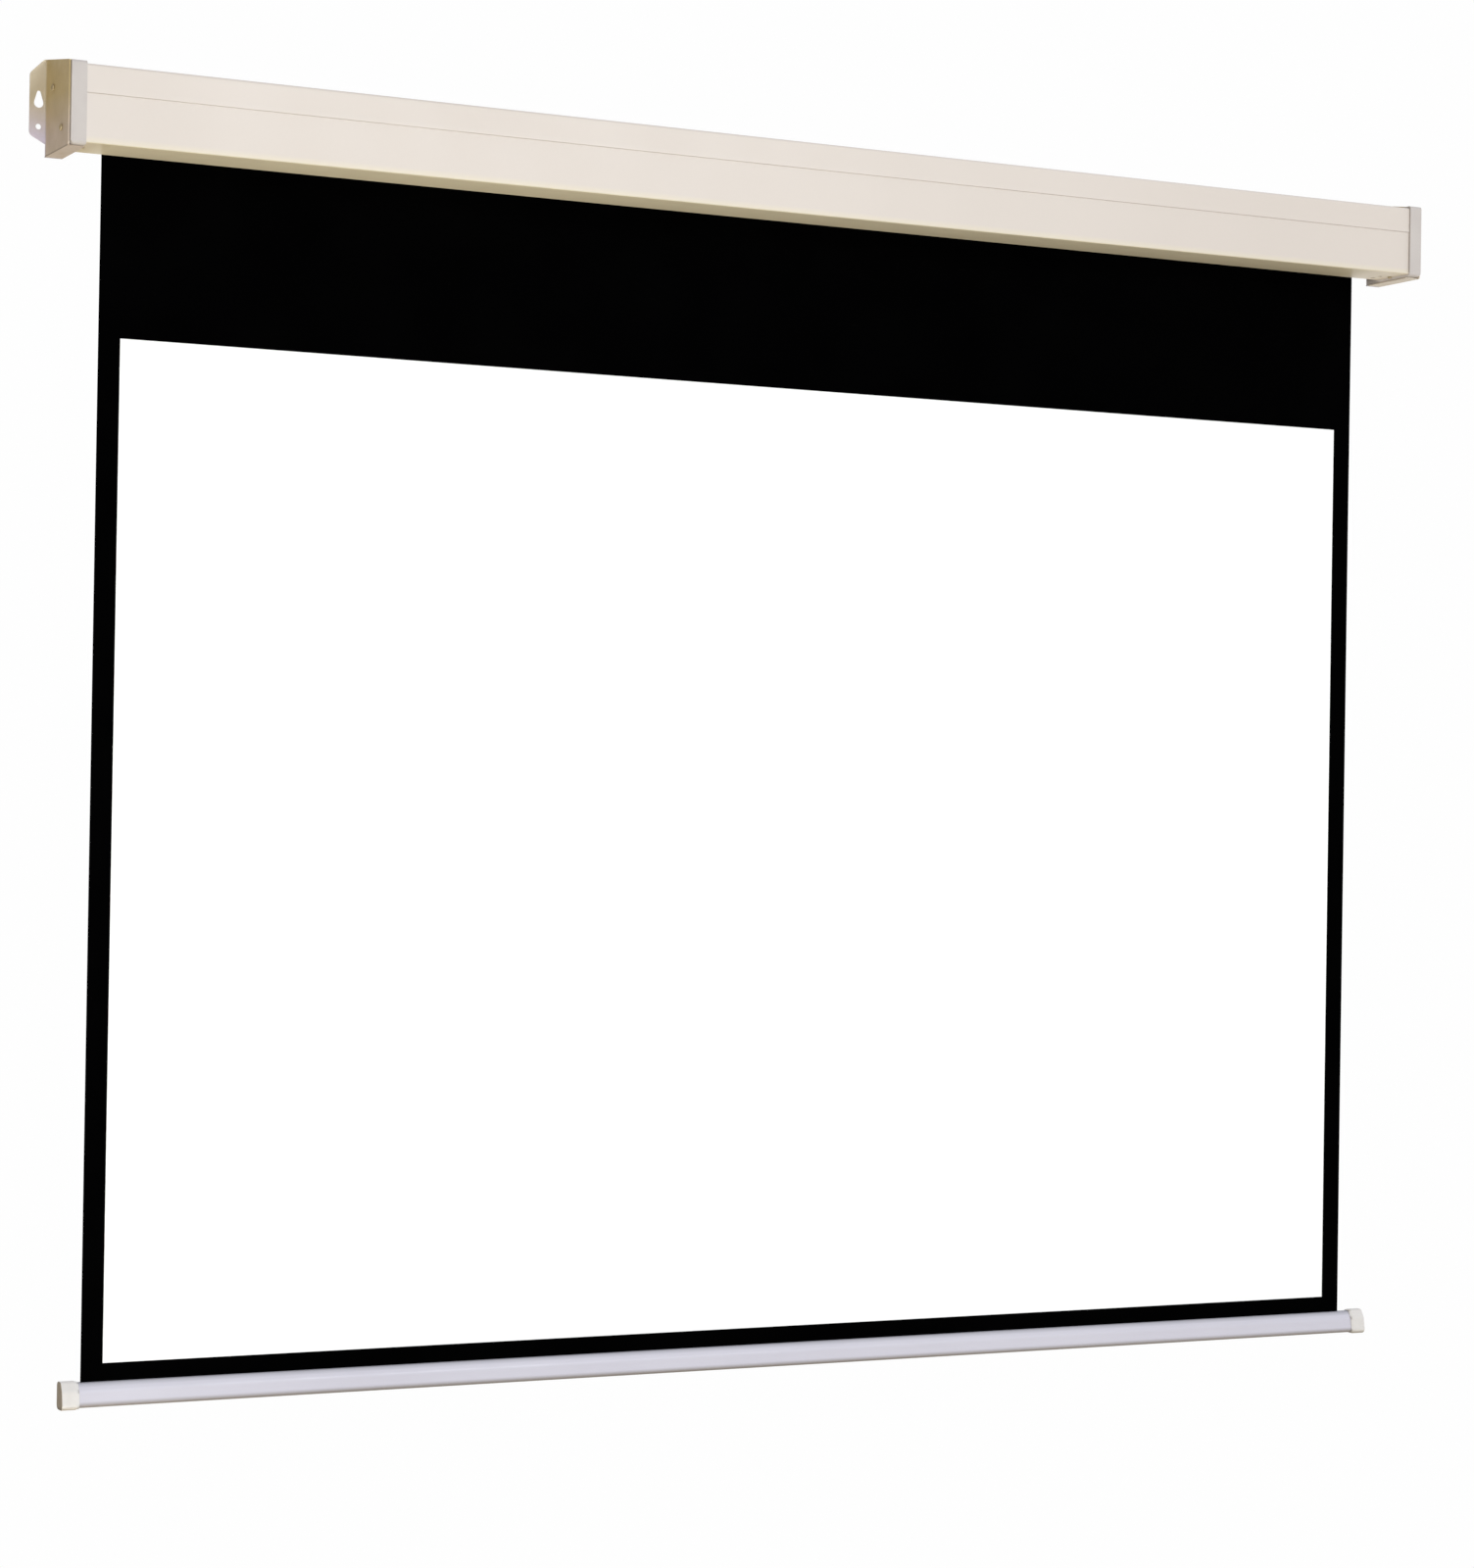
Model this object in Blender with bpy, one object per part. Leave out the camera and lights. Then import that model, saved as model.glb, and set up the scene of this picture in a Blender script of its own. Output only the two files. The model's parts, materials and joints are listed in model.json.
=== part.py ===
"""Motorized projector screen, hung on a wall, with its fabric fully let down.

Frame: metres, +X along the housing, -Y out of the wall into the room, +Z up. The origin is the middle of the
housing's back face, which lies in the wall's plane. Every size that can be set by itself is a named value
below. Two pieces that touch keep GAP between their surfaces.
"""

import math

import bmesh
import bpy
from mathutils import Vector

# Clearances
GAP = 0.0003
AIR_GAP = 0.0004

# Fabric
FABRIC_WIDTH = 1.800
DROP_HEIGHT = 0.2135
PICTURE_HEIGHT = 1.2062
BOTTOM_BORDER_HEIGHT = 0.0213
SIDE_BORDER_WIDTH = 0.0267
FABRIC_THICKNESS = 0.0005
WRAP_PITCH = 0.00095
WRAP_TURNS = 2.25
WRAP_STEPS_A_TURN = 30

# Housing, made of an upper shell and a front cover that meet at a crease
ROOM_OVER_ROLL = 0.0107
ROOM_BEFORE_ROLL = 0.0115
CASE_MARGIN = 0.0412
SHEET = 0.0012
BEND = 0.003
STRIP_HEIGHT = 0.0338
CREASE_GAP = 0.0005
CREASE_BEND = 0.0010
CREASE_STEP = 0.0006
CREASE_FLANGE = 0.006
BACK_RISE = 0.006
LIP_RETURN = 0.005
SLOT_FRONT = 0.005
FABRIC_TO_WALL = 0.022

# End caps
CAP_WIDTH = 0.0186
CAP_PROUD_TOP = 0.0025
CAP_PROUD_FRONT = 0.0025
CAP_PROUD_BOTTOM = 0.003
CAP_WALL = 0.0025
CAP_CORNER = 0.004
CAP_LOW_CORNER = 0.004
CAP_END_CORNER = 0.005
PLUG_LENGTH = 0.012
PLUG_WALL = 0.002

# Wall brackets
BRACKET_SHEET = 0.0016
BRACKET_BEND = 0.003
BRACKET_SETBACK = 0.004
BRACKET_CORNER = 0.003
EAR_CORNER = 0.007
BRACKET_REAR_RISE = 0.0155
EAR_WIDTH = 0.0194
EAR_TOP_CHAMFER = 0.017
EAR_LOW_CHAMFER_HIGH = 0.0105
EAR_BOTTOM = 0.0105
FOOT_WIDTH = 0.020
FOOT_SETBACK = 0.0015
KEYHOLE_FROM_EDGE = 0.0110
KEYHOLE_HEIGHT = 0.0125
KEYHOLE_WIDE_RADIUS = 0.0058
KEYHOLE_NARROW_RADIUS = 0.0024
KEYHOLE_RISE = 0.0120
ROUND_HOLE_HEIGHT = -0.0155
ROUND_HOLE_RADIUS = 0.0034

# Roller
ROLLER_AXIS_Z = 0.000
ROLLER_RADIUS = 0.025
ROLLER_WALL = 0.0012
CROWN_TO_HEAD = 0.0012
TAPE_THICKNESS = 0.0002
TAPE_ARC = 0.80
PLUG_INSIDE = 0.028
PLUG_FLANGE = 0.003
PIN_RADIUS = 0.005
PIN_COLLAR_RADIUS = 0.008
PIN_COLLAR_LENGTH = 0.004
PIN_TAIL_RADIUS = 0.0045
PIN_REACH = 0.031
BUSH_RADIUS = 0.009
BUSH_LENGTH = 0.020

# Roller brackets, one inside each end cap
PLATE_THICKNESS = 0.0016
PLATE_HALF_DEPTH = 0.026
PLATE_HALF_HEIGHT = 0.034
PLATE_CORNER = 0.006
PEG_HALF = 0.005

# Tubular motor, from its head inwards
HEAD_LENGTH = 0.040
HEAD_RADIUS = 0.022
HEAD_SPIGOT = 0.020
MOTOR_WALL = 0.0012
CROWN_FLANGE = 0.0042
CROWN_DEPTH = 0.020
LIMIT_BLOCK_LENGTH = 0.030
BOARD_LENGTH = 0.060
BOARD_THICKNESS = 0.0016
BOARD_OFFSET = 0.006
CAPACITOR_LENGTH = 0.050
CAPACITOR_RADIUS = 0.012
CAPACITOR_TO_BRAKE = 0.002
BRAKE_THICKNESS = 0.004
BRAKE_RADIUS = 0.014
BELL_LENGTH = 0.012
STATOR_LENGTH = 0.075
ROTOR_RADIUS = 0.0092
SHAFT_RADIUS = 0.0025
SUN_SEAT_RADIUS = 0.0016

# Planetary gears
MODULE = 0.00075
PLANETS = 3
SUN_TEETH = 4 * PLANETS
PLANET_TEETH = 5 * PLANETS
RING_RIM = 0.000925
BACKLASH = 0.00014
ADDENDUM = 0.80
DEDENDUM = 1.10
PRESSURE_ANGLE = math.radians(20)
PLANET_LENGTH = 0.012
PLANET_PIN_RADIUS = 0.002
PLANET_PIN_MARGIN = 0.001
CARRIER_THICKNESS = 0.006
CARRIER_RADIUS = 0.014
OUTPUT_RADIUS = 0.005
NOSE_LENGTH = 0.020
WHEEL_LENGTH = 0.020
OUTPUT_TAIL = 0.002

# Limit adjusters, reached through two holes in the front cover's lip
ADJUSTER_RADIUS = 0.003
ADJUSTER_LENGTH = 0.010
ADJUSTER_FROM_AXIS = 0.008
ADJUSTER_INSET = 0.0060
ADJUSTER_PROUD = 0.0015
SOCKET_RADIUS = 0.0015
SOCKET_DEPTH = 0.003
ACCESS_RADIUS = 0.0035

# Wiring inlet
GROMMET_FROM_WALL = 0.0125
GROMMET_HEIGHT = 0.022
GROMMET_RADIUS = 0.005
GROMMET_FLANGE = 0.002
GROMMET_BORE = 0.0035
TERMINAL_LENGTH = 0.022
TERMINAL_DEPTH = 0.014
TERMINAL_HEIGHT = 0.018
TERMINAL_TO_CAP = 0.004
TERMINAL_LEVEL = 0.018

# Fasteners
BRACKET_SCREW_RADIUS = 0.002
BRACKET_SCREW_HEAD = 0.004
BRACKET_SCREW_HEAD_HEIGHT = 0.0022
BRACKET_SCREW_LENGTH = 0.0095
BRACKET_SCREW_SPREAD_Y = 0.018
BRACKET_SCREW_SPREAD_Z = 0.026
CASE_SCREW_RADIUS = 0.0015
CASE_SCREW_HEAD = 0.003
CASE_SCREW_HEAD_HEIGHT = 0.0018
CASE_SCREW_LENGTH = 0.006
CASE_SCREW_DEPTH = 0.062

# Slot guide, clipped over the lip's upturned edge
GUIDE_WALL = 0.001
GUIDE_HEIGHT = 0.004

# Weight bar, whose front slopes out below a shoulder. Its back and front are measured from the fabric
BAR_HEIGHT = 0.029
BAR_BACK = 0.007
BAR_TOP_FRONT = 0.0032
BAR_SHOULDER_FRONT = 0.0088
BAR_SHOULDER_DROP = 0.0095
BAR_LOW_FRONT = 0.012
BAR_OVERHANG = 0.032
BAR_SHIFT = 0.0065
BAR_TOP_CORNER = 0.003
BAR_SHOULDER_CORNER = 0.012
BAR_LOW_CORNER = 0.0045
BAR_SLOT = 0.0016
BAR_SLOT_DEPTH = 0.004
BAR_WALL = 0.0018
HEM_ROD_RADIUS = 0.0024
HEM_ROD_CLEARANCE = 0.0006
HEM_ROD_MARGIN = 0.004
BAR_CAP_LENGTH = 0.022
BAR_CAP_WALL = 0.0015
BAR_CAP_END = 0.003

# What is left between the housing and the bar when the fabric is rolled up
BAR_PARKED_BELOW = 0.011

ROUND_SIDES = 32
SMALL_SIDES = 16
BEND_STEPS = 4
SMOOTH_ANGLE = math.radians(35)

# The roll of fabric at rest and fully wound, and the housing around it
WRAP_START = ROLLER_RADIUS + 2 * GAP + TAPE_THICKNESS + FABRIC_THICKNESS / 2
WRAP_END = WRAP_START + WRAP_PITCH * WRAP_TURNS
FABRIC_HEIGHT = DROP_HEIGHT + PICTURE_HEIGHT + BOTTOM_BORDER_HEIGHT
BAR_TRAVEL = FABRIC_HEIGHT - BAR_PARKED_BELOW
FULL_ROLL = math.sqrt(WRAP_END**2 + WRAP_PITCH * BAR_TRAVEL / math.pi) + FABRIC_THICKNESS / 2
CASE_HEIGHT = 2 * (FULL_ROLL + ROOM_OVER_ROLL)
CASE_DEPTH = FABRIC_TO_WALL + WRAP_END + FULL_ROLL + ROOM_BEFORE_ROLL

# Levels and planes worked out from the sizes
TOP = CASE_HEIGHT / 2
BOTTOM = -CASE_HEIGHT / 2
FRONT = -CASE_DEPTH
CREASE = TOP - STRIP_HEIGHT
FABRIC_Y = -FABRIC_TO_WALL
LIP_EDGE = FABRIC_Y - SLOT_FRONT
SHELL_END = FABRIC_WIDTH / 2 + CASE_MARGIN
CAP_INNER = SHELL_END + GAP
CAP_OUTER = CAP_INNER + CAP_WIDTH
CAP_FLOOR = CAP_OUTER - CAP_WALL
CAP_TOP = TOP + CAP_PROUD_TOP
CAP_BOTTOM = BOTTOM - CAP_PROUD_BOTTOM
CAP_FRONT = FRONT - CAP_PROUD_FRONT
BRACKET_INNER = CAP_OUTER + GAP
BRACKET_OUTER = BRACKET_INNER + BRACKET_SHEET
EAR_OUTER = BRACKET_OUTER + EAR_WIDTH
BRACKET_FRONT = CAP_FRONT + BRACKET_SETBACK
FOOT_TOP = CAP_BOTTOM - GAP
FOOT_BOTTOM = FOOT_TOP - BRACKET_SHEET
EAR_TOP = CAP_TOP + BRACKET_REAR_RISE
EAR_LOW = BOTTOM + EAR_BOTTOM

AXIS_Y = FABRIC_Y - WRAP_END
AXIS = Vector((0, AXIS_Y, ROLLER_AXIS_Z))
TUBE_BORE = ROLLER_RADIUS - ROLLER_WALL
IN_TUBE = TUBE_BORE - GAP

PLATE_OUTER = CAP_FLOOR - GAP
PLATE_INNER = PLATE_OUTER - PLATE_THICKNESS
HEAD_OUTER = PLATE_INNER - GAP
HEAD_INNER = HEAD_OUTER - HEAD_LENGTH
TUBE_END = HEAD_INNER - CROWN_TO_HEAD - CROWN_FLANGE
RING_TEETH = SUN_TEETH + 2 * PLANET_TEETH
IN_MOTOR = MODULE * (RING_TEETH / 2 + DEDENDUM) + RING_RIM
MOTOR_BORE = IN_MOTOR + GAP
MOTOR_RADIUS = MOTOR_BORE + MOTOR_WALL
SPIGOT_END = HEAD_INNER - HEAD_SPIGOT
LIMIT_END = SPIGOT_END - GAP
BOARD_END = LIMIT_END - LIMIT_BLOCK_LENGTH - GAP
CAPACITOR_END = BOARD_END - BOARD_LENGTH - GAP
BRAKE_END = CAPACITOR_END - CAPACITOR_LENGTH - CAPACITOR_TO_BRAKE
REAR_BELL_END = BRAKE_END - BRAKE_THICKNESS - GAP
STATOR_END = REAR_BELL_END - BELL_LENGTH - GAP
FRONT_BELL_END = STATOR_END - STATOR_LENGTH - GAP
GEARS_END = FRONT_BELL_END - BELL_LENGTH - GAP
PLANETS_END = GEARS_END - PLANET_PIN_MARGIN - GAP
CARRIER_END = PLANETS_END - PLANET_LENGTH - GAP
GEARS_START = CARRIER_END - CARRIER_THICKNESS - GAP
NOSE_END = GEARS_START - GAP
NOSE_START = NOSE_END - NOSE_LENGTH
WHEEL_END = NOSE_START - GAP
WHEEL_START = WHEEL_END - WHEEL_LENGTH

PLANET_ORBIT = MODULE * (SUN_TEETH + PLANET_TEETH) / 2

FABRIC_BOTTOM = BOTTOM - FABRIC_HEIGHT
BORDER_TOP = FABRIC_BOTTOM + BOTTOM_BORDER_HEIGHT
PICTURE_TOP = BORDER_TOP + PICTURE_HEIGHT
BAR_TOP = FABRIC_BOTTOM
BAR_CENTRE = Vector((BAR_SHIFT, FABRIC_Y, BAR_TOP - BAR_HEIGHT / 2))
BAR_LENGTH = FABRIC_WIDTH + 2 * BAR_OVERHANG
BAR_POCKET_RADIUS = HEM_ROD_RADIUS + HEM_ROD_CLEARANCE
POCKET_Z = BAR_HEIGHT / 2 - BAR_SLOT_DEPTH - BAR_POCKET_RADIUS


def clear_scene():
    for obj in list(bpy.data.objects):
        bpy.data.objects.remove(obj, do_unlink=True)


def material(name, colour, roughness, metallic=0.0):
    """A Principled material, made once for each name."""
    made = bpy.data.materials.get(name)
    if made:
        return made
    made = bpy.data.materials.new(name)
    made.use_nodes = True
    shader = made.node_tree.nodes["Principled BSDF"]
    shader.inputs["Base Color"].default_value = (*colour, 1.0)
    shader.inputs["Roughness"].default_value = roughness
    shader.inputs["Metallic"].default_value = metallic
    return made


# Outlines, as lists of points in a plane


def corner_arc(before, corner, after, radius, steps=BEND_STEPS):
    """The points of the arc that rounds one corner of a line."""
    back = (Vector(before) - Vector(corner)).normalized()
    ahead = (Vector(after) - Vector(corner)).normalized()
    half = back.angle(ahead) / 2
    if radius <= 0 or half > math.radians(89.9):
        return [tuple(corner)]
    reach = radius / math.tan(half)
    centre = Vector(corner) + (back + ahead).normalized() * (radius / math.sin(half))
    start = Vector(corner) + back * reach - centre
    end = Vector(corner) + ahead * reach - centre
    turn = start.angle_signed(end)
    points = []
    for step in range(steps + 1):
        angle = -turn * step / steps
        cos, sin = math.cos(angle), math.sin(angle)
        offset = Vector((start.x * cos - start.y * sin, start.x * sin + start.y * cos))
        points.append(tuple(centre + offset))
    return points


def rounded(corners, radii, steps=BEND_STEPS):
    """A closed outline whose corners have these radii."""
    points = []
    for index, corner in enumerate(corners):
        before = corners[index - 1]
        after = corners[(index + 1) % len(corners)]
        radius = radii[index] if isinstance(radii, (list, tuple)) else radii
        points += corner_arc(before, corner, after, radius, steps)
    return points


def box_outline(low_a, high_a, low_b, high_b, radii=0.0, steps=BEND_STEPS):
    corners = [(low_a, low_b), (high_a, low_b), (high_a, high_b), (low_a, high_b)]
    return rounded(corners, radii, steps)


def circle(radius, centre=(0, 0), sides=ROUND_SIDES):
    turns = [2 * math.pi * index / sides for index in range(sides)]
    return [(centre[0] + radius * math.cos(t), centre[1] + radius * math.sin(t)) for t in turns]


def grown(corners, grow):
    """The corners of an outline that turns left, with each side moved out by grow."""
    moved = []
    points = [Vector(corner) for corner in corners]
    for before, point, after in zip(points[-1:] + points, points, points[1:] + points[:1]):
        first, second = (Vector((side.y, -side.x)).normalized() for side in (point - before, after - point))
        moved.append(tuple(point + (first + second) * grow / (1 + first.dot(second))))
    return moved


def cut_level(corners, level):
    """The corners of the part of an outline below a level."""
    kept = []
    for index, corner in enumerate(corners):
        before = corners[index - 1]
        if (before[1] > level) != (corner[1] > level):
            share = (level - before[1]) / (corner[1] - before[1])
            kept.append((before[0] + (corner[0] - before[0]) * share, level))
        if corner[1] <= level:
            kept.append(corner)
    return kept


def sheet_outline(path, thickness, bends):
    """The outline of bent sheet that follows a middle line. bends holds one radius for each bend."""
    line = [path[0]]
    for before, corner, after, bend in zip(path, path[1:], path[2:], bends):
        line += corner_arc(before, corner, after, bend)
    line.append(path[-1])
    line = [Vector(point) for point in line]
    left, right = [], []
    for index, point in enumerate(line):
        before = (point - line[index - 1]).normalized() if index else None
        after = (line[index + 1] - point).normalized() if index + 1 < len(line) else None
        along = ((before or after) + (after or before)).normalized()
        reach = thickness / 2 / along.dot(after or before)
        across = Vector((-along.y, along.x)) * reach
        left.append(tuple(point + across))
        right.append(tuple(point - across))
    return left + right[::-1]


def pear(wide_radius, narrow_radius, rise, steps=10):
    """A keyhole's outline: a wide circle below and a narrow one above, with the lines that touch both."""
    lean = math.asin((wide_radius - narrow_radius) / rise)
    points = []
    for step in range(steps + 1):
        angle = math.pi - lean + (math.pi + 2 * lean) * step / steps
        points.append((wide_radius * math.cos(angle), wide_radius * math.sin(angle)))
    for step in range(steps // 2 + 1):
        angle = lean + (math.pi - 2 * lean) * step / (steps // 2)
        points.append((narrow_radius * math.cos(angle), rise + narrow_radius * math.sin(angle)))
    return points


def involute(angle):
    return math.tan(angle) - angle


def gear_outline(teeth, phase, widen, low, high):
    """Involute teeth, one centred at the angle phase, from radius low to radius high.

    widen is added to each tooth's thickness at the pitch circle. An inner gear is cut with such an outline.
    """
    pitch = MODULE * teeth / 2
    base = pitch * math.cos(PRESSURE_ANGLE)
    half_at_pitch = math.pi / (2 * teeth) + widen / (2 * pitch)
    radii = [low, max(low, (pitch + base) / 2), high]

    def half_width(radius):
        pressure = math.acos(min(1.0, base / radius))
        return half_at_pitch + involute(PRESSURE_ANGLE) - involute(pressure)

    points = []
    for tooth in range(teeth):
        centre = phase + 2 * math.pi * tooth / teeth
        rising = [(radius, centre - half_width(radius)) for radius in radii]
        falling = [(radius, centre + half_width(radius)) for radius in radii[::-1]]
        points += [(r * math.cos(a), r * math.sin(a)) for r, a in rising + falling]
    return points


# Solids, as bmeshes


def prism(outline, axis, low, high):
    """An outline pushed along axis. The outline's plane is YZ for X, XZ for Y and XY for Z."""

    def corner(point, level):
        along_x = (level, point[0], point[1])
        along_y = (point[0], level, point[1])
        return {"X": along_x, "Y": along_y, "Z": (point[0], point[1], level)}[axis]

    mesh = bmesh.new()
    first = [mesh.verts.new(corner(point, low)) for point in outline]
    second = [mesh.verts.new(corner(point, high)) for point in outline]
    mesh.faces.new(first)
    mesh.faces.new(second)
    count = len(outline)
    for index in range(count):
        following = (index + 1) % count
        mesh.faces.new((first[index], first[following], second[following], second[index]))
    return mesh


def turned(profile, sides=ROUND_SIDES, centre=(0, 0)):
    """A profile of (x, radius) points spun about the line along X through centre.

    The profile is closed, so that one with no point on the line makes a ring.
    """
    mesh = bmesh.new()
    rings = []
    for x, radius in profile:
        if radius <= 0:
            rings.append([mesh.verts.new((x, centre[0], centre[1]))] * sides)
            continue
        points = circle(radius, centre, sides)
        rings.append([mesh.verts.new((x, *point)) for point in points])
    for ring, following in zip(rings, rings[1:] + rings[:1]):
        for side in range(sides):
            after = (side + 1) % sides
            corners = [ring[side], ring[after], following[after], following[side]]
            corners = list(dict.fromkeys(corners))
            if len(corners) > 2:
                mesh.faces.new(corners)
    return mesh


def box(low, high):
    return prism(box_outline(low[1], high[1], low[2], high[2]), "X", low[0], high[0])


def pan_screw(radius, length, head_radius, head_height, sides=SMALL_SIDES):
    """A pan-head screw along X, its head's seat at 0 and its shank towards -X."""
    crown = head_height * 0.4
    profile = [
        (-length, 0),
        (-length, radius * 0.7),
        (-length + radius, radius),
        (0, radius),
        (0, head_radius),
        (head_height - crown, head_radius),
        (head_height, head_radius * 0.6),
        (head_height, 0),
    ]
    return turned(profile, sides)


def add(name, mesh, look, at=(0, 0, 0), parent=None, side=1):
    """Makes an object of a bmesh. side -1 mirrors the mesh in X, for the left end."""
    if side < 0:
        bmesh.ops.scale(mesh, vec=(-1, 1, 1), verts=mesh.verts)
    bmesh.ops.recalc_face_normals(mesh, faces=mesh.faces)
    data = bpy.data.meshes.new(name)
    mesh.to_mesh(data)
    mesh.free()
    data.shade_smooth()
    data.set_sharp_from_angle(angle=SMOOTH_ANGLE)
    obj = bpy.data.objects.new(name, data)
    bpy.context.scene.collection.objects.link(obj)
    obj.location = at
    if parent:
        obj.parent = parent
    if look:
        data.materials.append(look)
    return obj


def tool(obj, operation, mesh, at=(0, 0, 0), side=1):
    """Cuts, joins or keeps the shape of mesh, with a hidden helper object."""
    helper = add(f"{operation.lower()}_{obj.name}_{len(obj.modifiers)}", mesh, None, at, side=side)
    helper.parent = obj.parent
    helper.hide_render = True
    helper.display_type = "WIRE"
    modifier = obj.modifiers.new(helper.name, "BOOLEAN")
    modifier.operation = operation
    modifier.object = helper


def empty(name, at):
    obj = bpy.data.objects.new(name, None)
    bpy.context.scene.collection.objects.link(obj)
    obj.location = at
    return obj


clear_scene()

CREAM = material("cream_paint", (0.80, 0.77, 0.70), 0.42)
CAP_GREY = material("cap_plastic", (0.66, 0.63, 0.58), 0.50)
BRACKET_PAINT = material("bracket_paint", (0.70, 0.64, 0.52), 0.45)
KHAKI = material("guide_plastic", (0.55, 0.47, 0.32), 0.60)
WHITE = material("white_fabric", (0.92, 0.92, 0.92), 0.90)
BLACK = material("black_fabric", (0.01, 0.01, 0.01), 0.95)
LAVENDER = material("bar_paint", (0.62, 0.62, 0.72), 0.38, 0.2)
BAR_CAP_GREY = material("bar_cap_plastic", (0.75, 0.75, 0.80), 0.50)
STEEL = material("zinc_steel", (0.62, 0.63, 0.64), 0.35, 0.9)
SCREW = material("screw_steel", (0.70, 0.69, 0.66), 0.30, 0.9)
DARK_PLASTIC = material("dark_plastic", (0.05, 0.05, 0.06), 0.55)
NATURAL_PLASTIC = material("natural_plastic", (0.80, 0.78, 0.70), 0.50)
BRASS = material("sintered_brass", (0.65, 0.48, 0.22), 0.40, 0.9)
IRON = material("laminated_iron", (0.30, 0.30, 0.32), 0.50, 0.8)
RUBBER = material("black_rubber", (0.02, 0.02, 0.02), 0.80)
BOARD = material("board_green", (0.03, 0.22, 0.10), 0.45)
FOIL = material("capacitor_case", (0.72, 0.72, 0.74), 0.35, 0.7)
TAPE = material("tape", (0.70, 0.62, 0.40), 0.70)
YELLOW = material("adjuster_yellow", (0.85, 0.65, 0.06), 0.40)
PALE = material("adjuster_white", (0.88, 0.88, 0.86), 0.40)


# Housing


def upper_housing():
    """Back, top and upper front strip, one bent sheet, open below."""
    middle = SHEET / 2
    path = [
        (-middle, BOTTOM + BACK_RISE),
        (-middle, TOP - middle),
        (FRONT + middle, TOP - middle),
        (FRONT + middle, CREASE + middle),
        (FRONT + middle + CREASE_FLANGE, CREASE + middle),
    ]
    outline = sheet_outline(path, SHEET, (BEND, BEND, CREASE_BEND))
    shell = add("upper_housing", prism(outline, "X", -SHELL_END, SHELL_END), CREAM)
    for side in (-1, 1):
        hole = turned_z(CASE_SCREW_RADIUS + GAP, TOP - 2 * SHEET, TOP + SHEET, -CASE_SCREW_DEPTH)
        tool(shell, "DIFFERENCE", hole, (side * screw_x(), 0, 0))


def front_cover():
    """Lower front and underside lip, with an upturned edge in front of the fabric."""
    middle = SHEET / 2
    face = FRONT + CREASE_STEP + middle
    upper = CREASE - CREASE_GAP - middle
    path = [
        (face + CREASE_FLANGE, upper),
        (face, upper),
        (face, BOTTOM + middle),
        (LIP_EDGE - middle, BOTTOM + middle),
        (LIP_EDGE - middle, BOTTOM + LIP_RETURN),
    ]
    outline = sheet_outline(path, SHEET, (CREASE_BEND, SHEET, SHEET))
    cover = add("front_cover", prism(outline, "X", -SHELL_END, SHELL_END), CREAM)
    for side in (-1, 1):
        hole = turned_z(CASE_SCREW_RADIUS + GAP, BOTTOM - SHEET, BOTTOM + 2 * SHEET, -CASE_SCREW_DEPTH)
        tool(cover, "DIFFERENCE", hole, (side * screw_x(), 0, 0))
    for side in (-1, 1):
        hole = turned_z(ACCESS_RADIUS, BOTTOM - SHEET, BOTTOM + 2 * SHEET, AXIS_Y)
        tool(cover, "DIFFERENCE", hole, (adjuster_x(), side * ADJUSTER_FROM_AXIS, 0))


def turned_z(radius, low, high, y):
    return prism(circle(radius, (0, y), SMALL_SIDES), "Z", low, high)


def screw_x():
    """Where the housing's screws enter the end caps' plugs."""
    return CAP_INNER - PLUG_LENGTH / 2


def adjuster_x():
    return HEAD_INNER + ADJUSTER_INSET


def slot_guide():
    """Plastic strip over the lip's upturned edge, which the fabric may rub on."""
    inside = BOTTOM + LIP_RETURN + GAP
    front = LIP_EDGE - SHEET - GAP
    back = LIP_EDGE + GAP
    low = inside - GUIDE_HEIGHT + GUIDE_WALL
    outline = [
        (front - GUIDE_WALL, low),
        (front, low),
        (front, inside),
        (back, inside),
        (back, low),
        (back + GUIDE_WALL, low),
        (back + GUIDE_WALL, inside + GUIDE_WALL),
        (front - GUIDE_WALL, inside + GUIDE_WALL),
    ]
    half = CAP_INNER - PLUG_LENGTH - GAP
    add("slot_guide", prism(outline, "X", -half, half), KHAKI)


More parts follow.
